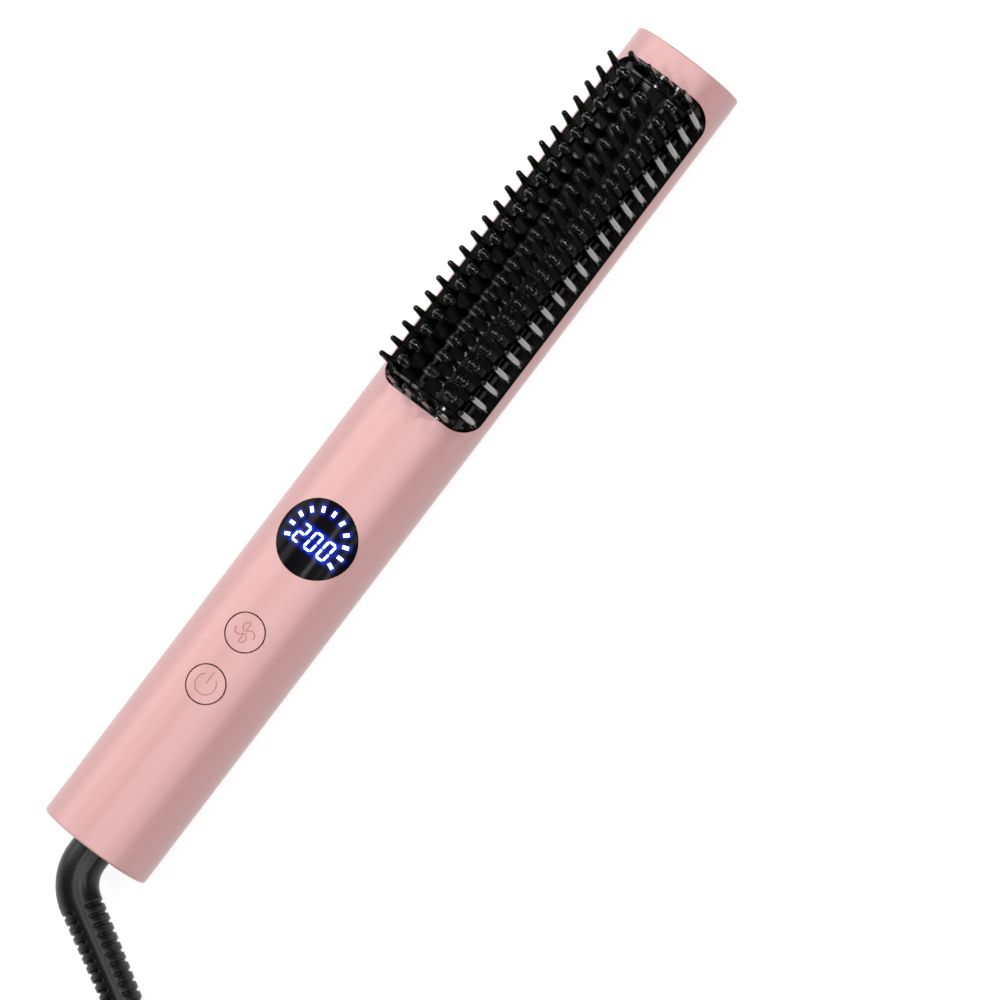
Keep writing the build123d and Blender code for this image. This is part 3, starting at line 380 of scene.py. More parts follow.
def oval_ring(
    centre: Vector, wide: Vector, tall: Vector, sides: int = 32, fullness: float = 2.0
) -> Ring:
    """A closed superellipse.

    Args:
        centre: Its centre.
        wide: Half its width, as a vector.
        tall: Half its height, as a vector.
        sides: How many points it has.
        fullness: 2 is an ellipse, and more is nearer to a rectangle.

    Returns:
        Its points in order.
    """
    ring = []
    for side in range(sides):
        turn = 2 * math.pi * side / sides
        cosine, sine = math.cos(turn), math.sin(turn)
        across = math.copysign(abs(cosine) ** (2 / fullness), cosine)
        up = math.copysign(abs(sine) ** (2 / fullness), sine)
        ring.append(centre + wide * across + tall * up)
    return ring


def around(reach: float, degrees: float) -> Flat:
    """A flat point at a distance and a direction from the middle.

    Args:
        reach: The distance.
        degrees: The direction, anticlockwise from the right.

    Returns:
        The point, right of and above the middle.
    """
    turn = math.radians(degrees)
    return (reach * math.cos(turn), reach * math.sin(turn))


def eased(share: float) -> float:
    """A share from 0 to 1 with a soft start and a soft end.

    Args:
        share: The plain share.

    Returns:
        The softened share.
    """
    return share * share * (3 - 2 * share)


def on_tube(along: float, across: float, lift: float, radius: float = TUBE_RADIUS) -> Vector:
    """A point on the tube's front, seen from outside with the tip upwards.

    Args:
        along: X, in metres.
        across: Distance to the right of the middle line, in metres.
        lift: Height above the surface, in metres.
        radius: The radius of the surface.

    Returns:
        The point.
    """
    height = math.sqrt(radius**2 - across**2) + lift
    return Vector((along, -across, AXIS_HEIGHT + height))


# ---------------------------------------------------------------- shell


@dataclass
class Shell:
    """The tube, its covers, plugs and every other solid that is shown as it is."""

    sharp: float = 30.0

    def build(self) -> None:
        """Dresses the solids that are shown as they are packed."""
        for finish, names in NODE_FINISHES.items():
            for name in names:
                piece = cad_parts[name]
                finish.dress(piece)
                soften(piece.data, self.sharp)
                log.info("dressed %s in %s", name, finish.name)


# ---------------------------------------------------------------- buttons


class Icon(Enum):
    """The signs on the two buttons."""

    POWER = "power"
    FAN = "fan"


@dataclass
class ButtonIcon:
    """A thin engraved sign on a button, drawn as flat lines darker than the button: painted shade of its
    grooves.
    """

    icon: Icon
    button: str
    line: float = 0.30 * MM
    lift: float = 0.02 * MM
    arc_radius: float = 3.05 * MM
    arc_opening: float = 36.0
    arc_steps: int = 28
    stem_bottom: float = 0.1 * MM
    stem_top: float = 4.2 * MM
    blade_reach: float = 3.1 * MM
    blade_root: float = 0.35 * MM
    blade_sweep: float = 62.0
    blade_steps: int = 16
    blade_closing: float = 0.98
    blades: int = 4
    opening: float = 11.9 * MM
    rim: float = 0.04 * MM
    # How far below the surface the ring of painted gap shade sits.
    gap_shade_depth: float = 0.25 * MM
    clearance: float = 0.03 * MM
    sides: int = 96

    def strokes(self) -> list[list[Flat]]:
        """The lines of the sign.

        Returns:
            Lists of points, each right of and above the button's middle.
        """
        if self.icon is Icon.POWER:
            first, sweep = 90 + self.arc_opening, 360 - 2 * self.arc_opening
            turns = [first + step * sweep / self.arc_steps for step in range(self.arc_steps + 1)]
            arc = [around(self.arc_radius, turn) for turn in turns]
            return [arc, [(0.0, self.stem_bottom), (0.0, self.stem_top)]]
        return [self.blade(360 / self.blades * index) for index in range(self.blades)]

    def blade(self, turn: float) -> list[Flat]:
        """One blade of the fan sign, with a straight and a curved edge.

        Args:
            turn: The direction of its straight edge in degrees.

        Returns:
            The points of its line.
        """
        points = [around(self.blade_root, turn)]
        for step in range(self.blade_steps + 1):
            share = step / self.blade_steps
            reach = self.blade_reach * math.sqrt(math.cos(math.pi / 2 * share * self.blade_closing))
            points.append(around(max(self.blade_root, reach), turn + self.blade_sweep * share))
        return points

    def build(self) -> None:
        """Lays the sign on the button, curved as its top is, and a dark maroon ring sunk in the gap round
        it. Both are painted shade: of the engraved grooves and of the gap.
        """
        low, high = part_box(self.button)
        middle = (low.x + high.x) / 2
        radius = high.z - AXIS_HEIGHT
        draft = MeshDraft()
        for stroke in self.strokes():
            for here, there in zip(stroke, stroke[1:]):
                run = Vector((there[0] - here[0], there[1] - here[1])).normalized()
                side = Vector((-run.y, run.x)) * self.line / 2
                corners = [
                    (here[0] + side.x, here[1] + side.y),
                    (here[0] - side.x, here[1] - side.y),
                    (there[0] - side.x, there[1] - side.y),
                    (there[0] + side.x, there[1] + side.y),
                ]
                draft.add_polygon([on_tube(middle + up, right, self.lift, radius) for right, up in corners])
        # The sign's lines are flat and darker than the button: painted shade of the engraved grooves.
        draft.piece(f"{self.button}_sign", ENGRAVING_SHADE, self.button)
        outer = self.opening / 2 - self.clearance
        inner = (high.y - low.y) / 2 + self.clearance
        self.ring(middle, outer - self.rim, outer, -self.clearance).piece(f"{self.button}_rim", SHELL)
        # A dark maroon ring below the surface, filling the gap: painted shade of the gap.
        self.ring(middle, inner, outer, -self.gap_shade_depth).piece(f"{self.button}_seal", GAP_SHADE)
        log.info("engraved %s", self.button)

    def ring(self, middle: float, inner: float, outer: float, lift: float) -> MeshDraft:
        """A flat ring in the button's opening, curved as the tube is.

        Args:
            middle: X of the button's middle.
            inner: Its inner radius.
            outer: Its outer radius.
            lift: Height above the tube's surface.

        Returns:
            The ring.
        """
        draft = MeshDraft()
        for side in range(self.sides):
            corners = []
            for index, radius in ((side, inner), (side, outer), (side + 1, outer), (side + 1, inner)):
                right, up = around(radius, 360 * index / self.sides)
                corners.append(on_tube(middle + up, right, lift))
            draft.add_polygon(corners)
        return draft


# ---------------------------------------------------------------- display


@dataclass
class Display:
    """The lit number and scale behind the round window."""

    lift: float = 0.03 * MM
    digit_height: float = 6.3 * MM
    digit_width: float = 3.0 * MM
    digit_pitch: float = 4.3 * MM
    digit_drop: float = 1.1 * MM
    stroke: float = 0.68 * MM
    gap: float = 0.10 * MM
    slice: float = 0.25 * MM
    slant: float = 0.12
    ticks: int = 11
    first_tick: float = 205.5
    last_tick: float = -25.5
    tick_radius: float = 8.5 * MM
    tick_length: float = 1.75 * MM
    tick_width: float = 1.05 * MM
    halo: float = 0.42 * MM
    halo_falloff: float = 1.4
    halo_margin: float = 0.3 * MM
    halo_lift: float = 0.01 * MM
    halo_cell: float = 0.2 * MM
    glow_colour: Colour = (0.02, 0.05, 0.75)
    glow_fading: Colour = (2.0, 1.5, 1.0)

    # Ends of each stroke of a digit, in halves of its width and height.
    STROKES = {
        "top": ((-1, 1), (1, 1)),
        "upper_right": ((1, 1), (1, 0)),
        "lower_right": ((1, 0), (1, -1)),
        "bottom": ((-1, -1), (1, -1)),
        "lower_left": ((-1, 0), (-1, -1)),
        "upper_left": ((-1, 1), (-1, 0)),
        "middle": ((-1, 0), (1, 0)),
    }
    DIGITS = {
        "2": ("top", "upper_right", "middle", "lower_left", "bottom"),
        "0": ("top", "upper_right", "lower_right", "bottom", "lower_left", "upper_left"),
    }
    NUMBER = "200"

    def __post_init__(self) -> None:
        """Finds the window."""
        low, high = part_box("display_lens")
        self.middle = (low.x + high.x) / 2
        self.surface = high.z - AXIS_HEIGHT
        self.radius = (high.x - low.x) / 2

    def digit_lines(self) -> list[Line]:
        """The middle lines of the lit strokes of the number.

        Returns:
            Pairs of ends, right of and above the window's middle.
        """
        lines = []
        half_wide = (self.digit_width - self.stroke) / 2
        half_tall = (self.digit_height - self.stroke) / 2
        for index, digit in enumerate(self.NUMBER):
            shift = (index - (len(self.NUMBER) - 1) / 2) * self.digit_pitch
            for name in self.DIGITS[digit]:
                ends = []
                for right, up in self.STROKES[name]:
                    rise = up * half_tall
                    ends.append((shift + right * half_wide + self.slant * rise, rise - self.digit_drop))
                lines.append((ends[0], ends[1]))
        return lines

    def tick_lines(self) -> list[Line]:
        """The middle lines of the scale's marks.

        Returns:
            Pairs of ends, the inner one first.
        """
        lines = []
        for index in range(self.ticks):
            share = index / (self.ticks - 1)
            turn = self.first_tick + share * (self.last_tick - self.first_tick)
            inner = self.tick_radius - self.tick_length / 2
            outer = self.tick_radius + self.tick_length / 2
            lines.append((around(inner, turn), around(outer, turn)))
        return lines

    def on_window(self, point: Flat, lift: float) -> Vector:
        """The point of the window's curved face over a flat place.

        Args:
            point: The place, right of and above the window's middle.
            lift: Height above the face.

        Returns:
            The point.
        """
        return on_tube(self.middle + point[1], point[0], lift, self.surface)

    def bar(self, ends: Line, width: float, pointed: bool) -> list[list[Flat]]:
        """A stroke in short slices, so that it follows the curved window.

        Args:
            ends: The ends of its middle line.
            width: Its width.
            pointed: Whether its ends are pointed, as a digit's strokes are.

        Returns:
            The corners of each slice.
        """
        start, end = Vector(ends[0]), Vector(ends[1])
        run = (end - start).normalized()
        if pointed:
            start, end = start + run * self.gap, end - run * self.gap
        side = Vector((-run.y, run.x)) * width / 2
        length = (end - start).length
        count = math.ceil(length / self.slice)
        cuts = []
        for index in range(count + 1):
            reach = length * index / count
            share = min(1.0, 2 * min(reach, length - reach) / width) if pointed else 1.0
            place = start + run * reach
            cuts.append((tuple(place - side * share), tuple(place + side * share)))
        slices = []
        for (low, high), (next_low, next_high) in zip(cuts, cuts[1:]):
            corners = [low, next_low, next_high, high]
            slices.append([corner for index, corner in enumerate(corners) if corner != corners[index - 1]])
        return slices

    def brightness(self, place: Flat, lines: list[Line]) -> float:
        """How strongly the lit marks glow at a place.

        Args:
            place: The place on the window.
            lines: The middle lines of everything lit.

        Returns:
            A value from 0 to 1.
        """
        spot = Vector(place)
        total = 0.0
        for start, end in lines:
            low, run = Vector(start), Vector(end) - Vector(start)
            share = min(1.0, max(0.0, (spot - low).dot(run) / run.length_squared))
            distance = max(0.0, (low + run * share - spot).length - self.stroke / 2)
            total += math.exp(-((distance / self.halo) ** self.halo_falloff))
        return 1.0 - math.exp(-total)

    def halo_material(self) -> bpy.types.Material:
        """Black window glass with the blue glow that the mesh carries.

        Returns:
            The material.
        """
        made = bpy.data.materials.new("window_glow")
        made.use_nodes = True
        nodes, links = made.node_tree.nodes, made.node_tree.links
        shader = nodes["Principled BSDF"]
        shader.inputs["Base Color"].default_value = (*LENS.colour, 1.0)
        shader.inputs["Roughness"].default_value = LENS.roughness
        shader.inputs["Specular IOR Level"].default_value = LENS.specular
        glow = nodes.new("ShaderNodeAttribute")
        glow.attribute_name = "glow"
        links.new(glow.outputs["Color"], shader.inputs["Emission Color"])
        shader.inputs["Emission Strength"].default_value = 1.0
        return made

    def build(self) -> None:
        """Makes the glow, then the marks on it."""
        digits, ticks = self.digit_lines(), self.tick_lines()
        self.build_halo(digits + ticks)
        draft = MeshDraft()
        marks = [self.bar(line, self.stroke, pointed=True) for line in digits]
        marks += [self.bar(line, self.tick_width, pointed=False) for line in ticks]
        for mark in marks:
            for outline in mark:
                draft.add_polygon([self.on_window(corner, self.lift) for corner in outline])
        draft.piece("display_marks", LIT)
        log.info("lit the display")

    def build_halo(self, lines: list[Line]) -> None:
        """Makes the window's face with the glow as a colour on its points.

        Args:
            lines: The middle lines of everything lit.
        """
        reach = self.radius - self.halo_margin
        cells = round(2 * reach / self.halo_cell)
        places = {}
        mesh = bpy.data.meshes.new("display_halo")
        net = bmesh.new()
        for row in range(cells + 1):
            for column in range(cells + 1):
                place = (-reach + column * self.halo_cell, -reach + row * self.halo_cell)
                if math.hypot(*place) <= reach:
                    vertex = net.verts.new(self.on_window(place, self.halo_lift))
                    places[row, column] = (vertex, place)
        for row, column in list(places):
            corners = [(row, column), (row, column + 1), (row + 1, column + 1), (row + 1, column)]
            if all(corner in places for corner in corners):
                net.faces.new([places[corner][0] for corner in corners])
        net.to_mesh(mesh)
        net.free()
        glow = mesh.color_attributes.new("glow", "FLOAT_COLOR", "POINT")
        for index, (_, place) in enumerate(places.values()):
            strength = self.brightness(place, lines)
            shade = [level * strength**power for level, power in zip(self.glow_colour, self.glow_fading)]
            glow.data[index].color = (*shade, 1.0)
        piece = place_mesh("display_halo", mesh, LENS)
        piece.data.materials.clear()
        piece.data.materials.append(self.halo_material())


# ---------------------------------------------------------------- comb head


@dataclass
class CombHead:
    """The guard frame's bristles and the tips of the heated teeth."""

    side_pitch: float = 5.205 * MM
    side_count: int = 21
    side_row: float = 13.9 * MM
    end_rows: tuple[float, ...] = (-9.15 * MM, -3.05 * MM, 3.05 * MM, 9.15 * MM)
    end_row_inset: float = 2.05 * MM
    opening_overlap: float = 2.5 * MM
    root: float = 1.42 * MM
    tip: float = 0.85 * MM
    side_base: float = 6.3 * MM
    end_base: float = 11.5 * MM
    sides: int = 20
    dome_rings: int = 5
    dome_flat: float = 0.35
    tooth_rows: tuple[tuple[float, int], ...] = ((-8.0 * MM, 20), (0.0, 19), (8.0 * MM, 20))
    tooth_pitch: float = 5.26 * MM
    tip_flare: float = 0.97
    tip_bevel: float = 0.12
    tip_rounding: float = 0.25 * MM
    tip_rings: int = 6
    tip_flat: float = 0.4
    tip_sides: int = 24
    tip_fullness: float = 2.6

    def __post_init__(self) -> None:
        """Finds the frame and the tips."""
        low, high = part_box("bristle_frame")
        self.middle = (low.x + high.x) / 2
        self.half = (high.x - low.x) / 2 - self.opening_overlap
        self.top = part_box("guard_bristles")[1].z
        self.tip_low, self.tip_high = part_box("tooth_tips")

    def bristle_places(self) -> list[tuple[float, float, float]]:
        """Where the bristles stand.

        Returns:
            The X, the Y and the height above the tube's axis that each starts at.
        """
        places = []
        for index in range(self.side_count):
            x = self.middle + (index - (self.side_count - 1) / 2) * self.side_pitch
            places += [(x, side * self.side_row, self.side_base) for side in (-1, 1)]
        for end in (-1, 1):
            x = self.middle + end * (self.half - self.end_row_inset)
            places += [(x, row, self.end_base) for row in self.end_rows]
        return places

    def bristle_rings(self, x: float, y: float, base: float) -> list[Ring]:
        """A tapered bristle with a round end.

        Args:
            x: Where it stands, along the tube.
            y: Where it stands, across the tube.
            base: The height above the axis that it starts at.

        Returns:
            Its rings from the bottom up.
        """
        floor = AXIS_HEIGHT + base
        neck = self.top - self.tip
        profile = [(floor, self.root), (neck, self.tip)]
        for step in range(1, self.dome_rings + 1):
            turn = math.pi / 2 * step / (self.dome_rings + self.dome_flat)
            profile.append((neck + self.tip * math.sin(turn), self.tip * math.cos(turn)))
        rings = []
        for z, radius in profile:
            centre = Vector((x, y, z))
            rings.append(oval_ring(centre, Vector((radius, 0, 0)), Vector((0, radius, 0)), self.sides))
        return rings

    def build(self) -> None:
        """Makes the bristles, then the tips of the teeth."""
        draft = MeshDraft()
        for place in self.bristle_places():
            draft.add_rings(self.bristle_rings(*place))
        bristles = draft.piece("round_bristles", MOULDING, sharp=60.0)
        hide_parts("guard_bristles")
        log.info("made the bristles")
        self.build_tips()

    def build_tips(self) -> None:
        """Makes the rounded tips on the teeth."""
        draft = MeshDraft()
        span = self.tip_high.y - self.tip_low.y
        wide = (span - (self.tooth_rows[-1][0] - self.tooth_rows[0][0])) / 2
        length = self.tip_high.x - self.tip_low.x
        thick = (length - (self.tooth_rows[0][1] - 1) * self.tooth_pitch) / 2
        base, top = self.tip_low.z, self.tip_high.z
        shoulder = top - thick
        for row, teeth in self.tooth_rows:
            for index in range(teeth):
                x = self.middle + (index - (teeth - 1) / 2) * self.tooth_pitch
                rings = []
                for z, share in self.tip_profile(base, shoulder, top):
                    trim = thick * (1 - share)
                    centre = Vector((x, row, z))
                    half_wide = Vector((0, wide - trim, 0))
                    half_thick = Vector((thick - trim, 0, 0))
                    section = oval_ring(centre, half_thick, half_wide, self.tip_sides, self.tip_fullness)
                    rings.append(section)
                draft.add_rings(rings)
        tips = draft.piece("rounded_tips", TIPS, sharp=60.0)
        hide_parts("tooth_tips")
        log.info("made the tips")

    def tip_profile(self, base: float, shoulder: float, top: float) -> list[Flat]:
        """Heights up a tip and the share of its full thickness there.

        Args:
            base: The height of its foot.
            shoulder: The height where its round end starts.
            top: The height of its end.

        Returns:
            Pairs of a height and a share.
        """
        profile = [
            (base, self.tip_flare - self.tip_bevel),
            (base + self.tip_rounding, self.tip_flare),
            (shoulder, 1.0),
        ]
        for step in range(1, self.tip_rings + 1):
            turn = math.pi / 2 * step / (self.tip_rings + self.tip_flat)
            profile.append((shoulder + (top - shoulder) * math.sin(turn), math.cos(turn)))
        return profile


# ---------------------------------------------------------------- mains lead


@dataclass
class StrainRelief:
    """The moulded elbow with its grooved flexible end."""

    root: float = 6.2 * MM
    end: float = 5.4 * MM
    start: float = 2.0 * MM
    neck: float = 3.5 * MM
    bend_radius: float = 13.5 * MM
    bend_turn: float = 61.3
    bend_steps: int = 18
    straight: float = 41.45 * MM
    grooves: int = 12
    groove_pitch: float = 2.97 * MM
    groove_width: float = 0.70 * MM
    groove_depth: float = 0.62 * MM
    groove_taper: float = 0.92
    pocket: float = 1.6
    first_groove: float = 1.6 * MM
    rib_rounding: float = 0.5 * MM
    rib_steps: int = 4
    spine: float = 0.30
    spine_flank: float = 0.14
    end_rounding: float = 0.6 * MM
    end_fullness: float = 0.98
    end_shares: tuple[float, ...] = (0.4, 0.8, 1.0)
    sides: int = 72

    def ring(self, centre: Vector, heading: Vector, radius: float, cut: float = 0.0) -> Ring:
        """A round section, cut back at both sides of a spine on its front and its back.

        Args:
            centre: Its centre.
            heading: The way the relief runs there.
            radius: Its radius.
            cut: How deep the groove is there.

        Returns:
            Its points.
        """
        up = Vector((0, 0, 1))
        side = heading.cross(up)
        points = []
        for index in range(self.sides):
            turn = 2 * math.pi * index / self.sides
            aside = abs(math.cos(turn))
            beyond = min(1.0, max(0.0, (aside - self.spine) / self.spine_flank))
            share = eased(beyond) * (1 + self.pocket * (1 - aside))
            reach = radius - cut * share
            points.append(centre + side * reach * math.cos(turn) + up * reach * math.sin(turn))
        return points

    def straight_stations(self) -> list[Flat]:
        """Stations along the straight end and the depth of the grooves there.

        Returns:
            Pairs of a distance and a depth.
        """
        stations = [(0.0, 0.0)]
        for index in range(self.grooves):
            middle = self.first_groove + index * self.groove_pitch
            half = self.groove_width / 2
            flank = []
            for step in range(self.rib_steps + 1):
                turn = math.pi / 2 * step / self.rib_steps
                out = half + self.rib_rounding * (1 - math.sin(turn))
                flank.append((out, self.rib_rounding * (1 - math.cos(turn))))
            flank.append((half * self.groove_taper, self.groove_depth))
            stations += [(middle - out, depth) for out, depth in flank]
            stations += [(middle + out, depth) for out, depth in reversed(flank)]
        stations.append((self.straight - self.end_rounding, 0.0))
        return stations

    def build(self) -> None:
        """Makes the relief."""
        start = Vector((CORD_END + self.start, 0, AXIS_HEIGHT))
        rings = [self.ring(start, Vector((-1, 0, 0)), self.root)]
        centre = Vector((CORD_END - self.neck, -self.bend_radius, AXIS_HEIGHT))
        for step in range(self.bend_steps + 1):
            turn = math.radians(self.bend_turn * step / self.bend_steps)
            spoke = Vector((-math.sin(turn), math.cos(turn), 0)) * self.bend_radius
            heading = Vector((-math.cos(turn), -math.sin(turn), 0))
            rings.append(self.ring(centre + spoke, heading, self.root))
        bend_end = centre + spoke
        for distance, cut in self.straight_stations():
            radius = self.root + (self.end - self.root) * distance / self.straight
            rings.append(self.ring(bend_end + heading * distance, heading, radius, cut))
        for share in self.end_shares:
            distance = self.straight - self.end_rounding * (1 - share)
            radius = self.end - self.end_rounding * (1 - math.sqrt(1 - (self.end_fullness * share) ** 2))
            rings.append(self.ring(bend_end + heading * distance, heading, radius))
        draft = MeshDraft()
        draft.add_rings(rings)
        piece = draft.piece("relief_sleeve", RELIEF, sharp=40.0)
        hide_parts("strain_relief")
        log.info("made the strain relief")


@dataclass
class MainsLead:
    """The cord with its coil, its tie and its plug."""

    diameter: float = 5.2 * MM
    points_a_turn: int = 16
    centre: tuple[float, float] = (-0.2216, -0.0415)
    first_turn: float = -31.0
    coil_start: float = 0.31
    climb: float = 0.5
    length: float = 1.75
    tie_thickness: float = 0.7 * MM
    tie_edge: float = 0.15 * MM
    tie_sides: int = 40
    tie_fullness: float = 5.0
    plug_sides: int = 48

    # Turns made and the radius there, where the winding changes its layer.
    LAYERS = (
        (0.0, 0.0418),
        (0.33, 0.0380),
        (2.5, 0.0280),
        (4.3, 0.0364),
        (6.1, 0.0276),
        (8.02, 0.0372),
    )
    LAYER_STARTS = (2.5, 4.3, 6.1)

    # Sections of the strap: the share of half its width and the depth below its outside.
    TIE_OUTSIDE = ((-1, 1.0), (-0.9, 0.0), (0.9, 0.0), (1, 1.0))
    TIE_INSIDE = (0.9, -0.9)

    # Sections of the plug in millimetres: distance, half width, half height; and their fullness.
    PLUG_SECTIONS = (
        (0.0, 3.3, 3.3, 2.0),
        (0.5, 3.7, 3.7, 2.0),
        (9.0, 5.2, 5.2, 2.0),
        (10.0, 5.9, 5.6, 2.2),
        (11.5, 7.4, 6.5, 2.8),
        (15.0, 9.4, 6.9, 3.4),
        (19.0, 11.4, 7.0, 4.0),
        (22.0, 12.0, 7.0, 4.5),
        (32.5, 12.0, 7.0, 4.5),
        (33.5, 11.7, 6.7, 4.5),
        (34.0, 11.0, 6.0, 4.5),
    )

    # The route of the cord to the coil and from the coil to the plug.
    TO_COIL = (
        (-0.17372, -0.04341, 0.0175),
        (-0.1840, -0.0605, 0.0175),
        (-0.1972, -0.0790, 0.0076),
        (-0.2336, -0.0832, 0.0026),
    )
    TO_PLUG = (
        (-0.2010, -0.0740, 0.0182),
        (-0.2225, -0.0800, 0.0187),
        (-0.2420, -0.0689, 0.0278),
        (-0.2480, -0.0474, 0.0278),
    )

    def winding(self, turns: float) -> tuple[float, float]:
        """The radius and the height of the winding.

        Args:
            turns: How many turns have been made.

        Returns:
            The radius and the height.
        """
        radius = self.LAYERS[-1][1]
        for (low, inner), (high, outer) in zip(self.LAYERS, self.LAYERS[1:]):
            if low <= turns <= high:
                radius = inner + (outer - inner) * (turns - low) / (high - low)
        layer = 0.5
        for start in self.LAYER_STARTS:
            share = min(1.0, max(0.0, (turns - start) / self.climb + 0.5))
            layer += eased(share)
        return radius, layer * self.diameter

    def coil_points(self) -> list[Vector]:
        """The turns of the coil, in and out, one layer on the other.

        Returns:
            The control points.
        """
        swell = 1 / math.cos(math.pi / self.points_a_turn)
        first = round(self.coil_start * self.points_a_turn)
        last = round(self.LAYERS[-1][0] * self.points_a_turn)
        points = []
        for step in range(first, last):
            turns = step / self.points_a_turn
            radius, height = self.winding(turns)
            turn = math.radians(self.first_turn) - 2 * math.pi * turns
            x = self.centre[0] + radius * swell * math.cos(turn)
            y = self.centre[1] + radius * swell * math.sin(turn)
            points.append(Vector((x, y, height)))
        return points

    def build(self) -> None:
        """Makes the lead, its tie and its plug."""
        route = [Vector(p) for p in self.TO_COIL]
        route += self.coil_points()
        route += [Vector(p) for p in self.TO_PLUG]
        curve = bpy.data.curves.new("mains_cord", "CURVE")
        curve.dimensions = "3D"
        curve.bevel_depth = self.diameter / 2
        curve.bevel_resolution = 6
        curve.resolution_u = 6
        curve.use_fill_caps = True
        spline = curve.splines.new("NURBS")
        spline.points.add(len(route) - 1)
        for point, place in zip(spline.points, route):
            point.co = (*place, 1.0)
        spline.order_u = 3
        spline.use_endpoint_u = True
        cord = bpy.data.objects.new("mains_cord", curve)
        bpy.context.scene.collection.objects.link(cord)
        CORD.dress(cord)
        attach(cord, BRUSH)
        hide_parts("cord", "cord_coil")
        tie = self.build_tie()
        plug = self.build_plug()
        log.info("laid the cord")

    def build_tie(self) -> bpy.types.Object:
        """Makes the strap round the coil.

        Returns:
            The piece.
        """
        low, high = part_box("coil_tie")
        middle = (low + high) / 2
        half = (high - low) / 2
        sections = [(share, self.tie_edge * depth) for share, depth in self.TIE_OUTSIDE]
        sections += [(share, self.tie_thickness) for share in self.TIE_INSIDE]
        rings = []
        for share, inset in sections:
            centre = Vector((middle.x, middle.y + half.y * share, middle.z))
            wide = Vector((half.x - inset, 0, 0))
            tall = Vector((0, 0, half.z - inset))
            rings.append(oval_ring(centre, wide, tall, self.tie_sides, self.tie_fullness))
        draft = MeshDraft()
        draft.add_rings(rings, looped=True)
        tie = draft.piece("coil_strap", TIE)
        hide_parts("coil_tie")
        log.info("tied the coil")
        return tie

    def build_plug(self) -> bpy.types.Object:
        """Makes the plug's body in line with the end of the cord.

        Returns:
            The piece.
        """
        end = Vector(self.TO_PLUG[-1])
        heading = (end - Vector(self.TO_PLUG[-2])).normalized()
        up = Vector((0, 0, 1))
        side = up.cross(heading)
        rings = []
        for distance, wide, tall, fullness in self.PLUG_SECTIONS:
            centre = end + heading * distance * MM
            rings.append(oval_ring(centre, side * wide * MM, up * tall * MM, self.plug_sides, fullness))
        draft = MeshDraft()
        draft.add_rings(rings)
        plug = draft.piece("plug_moulding", RELIEF, sharp=50.0)
        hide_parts("plug_body")
        log.info("made the plug")
        return plug


# ---------------------------------------------------------------- studio


@dataclass(frozen=True)
class Lamp:
    """A soft rectangular lamp that points at the middle of the brush."""

    name: str
    place: tuple[float, float, float]
    size: tuple[float, float]
    power: float


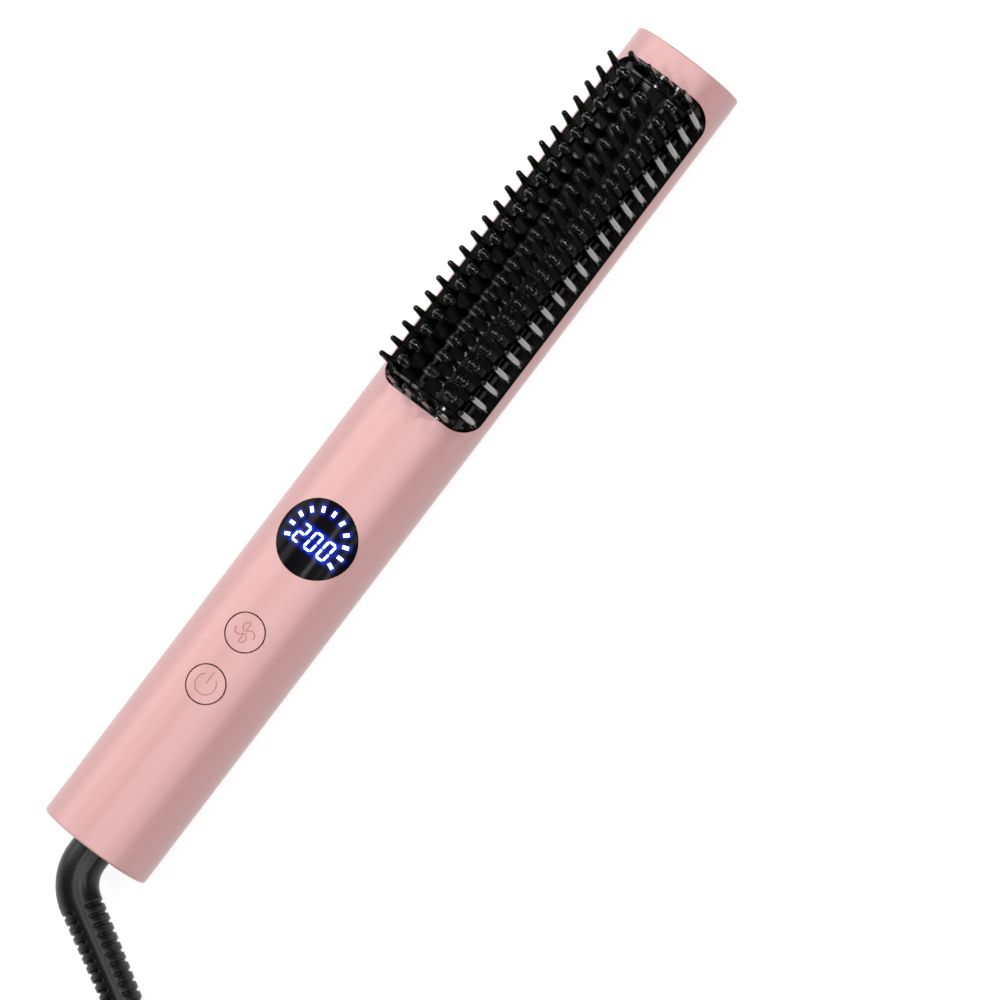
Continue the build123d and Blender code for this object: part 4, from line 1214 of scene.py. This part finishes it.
@dataclass
class Studio:
    """The floor, the lamps and the camera."""

    roll: float = 8.0
    tip_direction: tuple[float, float] = (0.6053, 0.7960)
    distance: float = 1.552
    focal_length: float = 198.0
    aim_right: float = 30.5 * MM
    aim_down: float = 12.6 * MM
    ambient: float = 0.10
    lamps: tuple[Lamp, ...] = (
        Lamp("key", (0.10, 0.84, 1.10), (0.7, 0.35), 4.0),
        Lamp("side", (0.10, 1.30, 0.55), (1.3, 0.7), 8.5),
    )
    spots: tuple[tuple[float, float], ...] = (
        (0.2, 0.42),
        (0.55, 0.22),
        (-0.28, 0.1),
        (0.4, -0.12),
        (-0.12, -0.3),
        (0.28, -0.48),
        (-0.34, -0.64),
        (0.06, -0.8),
        (0.5, -0.96),
        (-0.16, -1.08),
    )
    spot_distance: float = 1.4
    spot_size: tuple[float, float] = (0.05, 0.05)
    spot_power: float = 1.6
    floor_reach: float = 2.6
    floor_rise: float = 0.8
    floor_sides: int = 64
    floor_rings: tuple[float, ...] = (0.25, 0.5, 0.75)
    rim_steps: int = 10
    floor_colour: float = 0.42
    floor_white: float = 0.74

    def build(self) -> None:
        """Sets up the whole studio."""
        self.build_world()
        self.build_floor()
        for lamp in self.lamps:
            self.add_lamp(lamp)
        for index, (x, y) in enumerate(self.spots):
            height = math.sqrt(self.spot_distance**2 - y**2)
            self.add_lamp(Lamp(f"spot_{index}", (x, y, height), self.spot_size, self.spot_power))
        self.build_camera()

    def add_lamp(self, lamp: Lamp) -> None:
        """Adds one lamp.

        Args:
            lamp: Its description.
        """
        light = bpy.data.lights.new(lamp.name, "AREA")
        light.shape = "RECTANGLE"
        light.size, light.size_y = lamp.size
        light.energy = lamp.power
        made = bpy.data.objects.new(lamp.name, light)
        made.location = lamp.place
        aim = Vector((0, 0, AXIS_HEIGHT)) - made.location
        made.rotation_mode = "QUATERNION"
        made.rotation_quaternion = aim.to_track_quat("-Z", "Y")
        bpy.context.scene.collection.objects.link(made)

    def build_world(self) -> None:
        """A plain soft surround."""
        world = bpy.data.worlds.new("surround")
        bpy.context.scene.world = world
        world.use_nodes = True
        back = world.node_tree.nodes["Background"]
        back.inputs["Color"].default_value = (1.0, 1.0, 1.0, 1.0)
        back.inputs["Strength"].default_value = self.ambient

    def build_floor(self) -> None:
        """A white floor that turns up at its rim and keeps a soft shadow of the brush."""
        profile = [(self.floor_reach * share, 0.0) for share in self.floor_rings]
        for step in range(self.rim_steps + 1):
            turn = math.pi / 2 * step / self.rim_steps
            outwards = self.floor_reach + self.floor_rise * math.sin(turn)
            profile.append((outwards, self.floor_rise * (1 - math.cos(turn))))
        net = bmesh.new()
        rings = []
        for radius, height in profile:
            ring = []
            for side in range(self.floor_sides):
                x, y = around(radius, 360 * side / self.floor_sides)
                ring.append(net.verts.new((x, y, height)))
            rings.append(ring)
        net.faces.new(rings[0])
        for inner, outer in zip(rings, rings[1:]):
            for side in range(self.floor_sides):
                after = (side + 1) % self.floor_sides
                net.faces.new((inner[side], outer[side], outer[after], inner[after]))
        mesh = bpy.data.meshes.new("floor")
        net.to_mesh(mesh)
        net.free()
        mesh.shade_smooth()
        mesh.materials.append(self.floor_paint())
        floor = bpy.data.objects.new("floor", mesh)
        bpy.context.scene.collection.objects.link(floor)

    def floor_paint(self) -> bpy.types.Material:
        """White paint that looks white from everywhere and still takes a shadow.

        Returns:
            The material.
        """
        paint = bpy.data.materials.new("white_floor")
        paint.use_nodes = True
        nodes, links = paint.node_tree.nodes, paint.node_tree.links
        shader = nodes["Principled BSDF"]
        shader.inputs["Base Color"].default_value = (*(self.floor_colour,) * 3, 1.0)
        shader.inputs["Roughness"].default_value = 0.9
        shader.inputs["Specular IOR Level"].default_value = 0.0
        shader.inputs["Emission Color"].default_value = (1.0, 1.0, 1.0, 1.0)
        path = nodes.new("ShaderNodeLightPath")
        seen = path.outputs["Is Camera Ray"]
        for kind in ("Is Glossy Ray", "Is Transmission Ray"):
            seen = math_node(paint.node_tree, "MAXIMUM", seen, path.outputs[kind])
        level = math_node(paint.node_tree, "MULTIPLY", seen, self.floor_white)
        links.new(level, shader.inputs["Emission Strength"])
        return paint

    def build_camera(self) -> None:
        """A long lens over the front of the brush, the tip up and to the right."""
        tilt = math.radians(self.roll)
        towards = Vector((0, -math.sin(tilt), math.cos(tilt)))
        tip = Vector((1, 0, 0))
        across = Vector((0, -math.cos(tilt), -math.sin(tilt)))
        cosine, sine = self.tip_direction
        right = tip * cosine + across * sine
        up = tip * sine - across * cosine
        middle = (TUBE_LOW + TUBE_HIGH) / 2
        aim = middle + right * self.aim_right - up * self.aim_down
        lens = bpy.data.cameras.new("camera")
        lens.lens = self.focal_length
        lens.sensor_width = 36.0
        camera = bpy.data.objects.new("camera", lens)
        axes = Matrix((right, up, towards)).transposed()
        camera.matrix_world = Matrix.Translation(aim + towards * self.distance) @ axes.to_4x4()
        bpy.context.scene.collection.objects.link(camera)
        bpy.context.scene.camera = camera


# ---------------------------------------------------------------- the brush


def main() -> None:
    """Builds the studio and every sub-assembly in order."""
    logging.basicConfig(level=logging.INFO, format="%(name)s: %(message)s")
    bpy.context.scene.view_settings.view_transform = "Standard"
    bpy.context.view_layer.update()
    Studio().build()
    MainsLead().build()
    StrainRelief().build()
    Shell().build()
    ButtonIcon(Icon.POWER, "power_button").build()
    ButtonIcon(Icon.FAN, "fan_button").build()
    Display().build()
    CombHead().build()


if __name__ == "__main__":
    main()
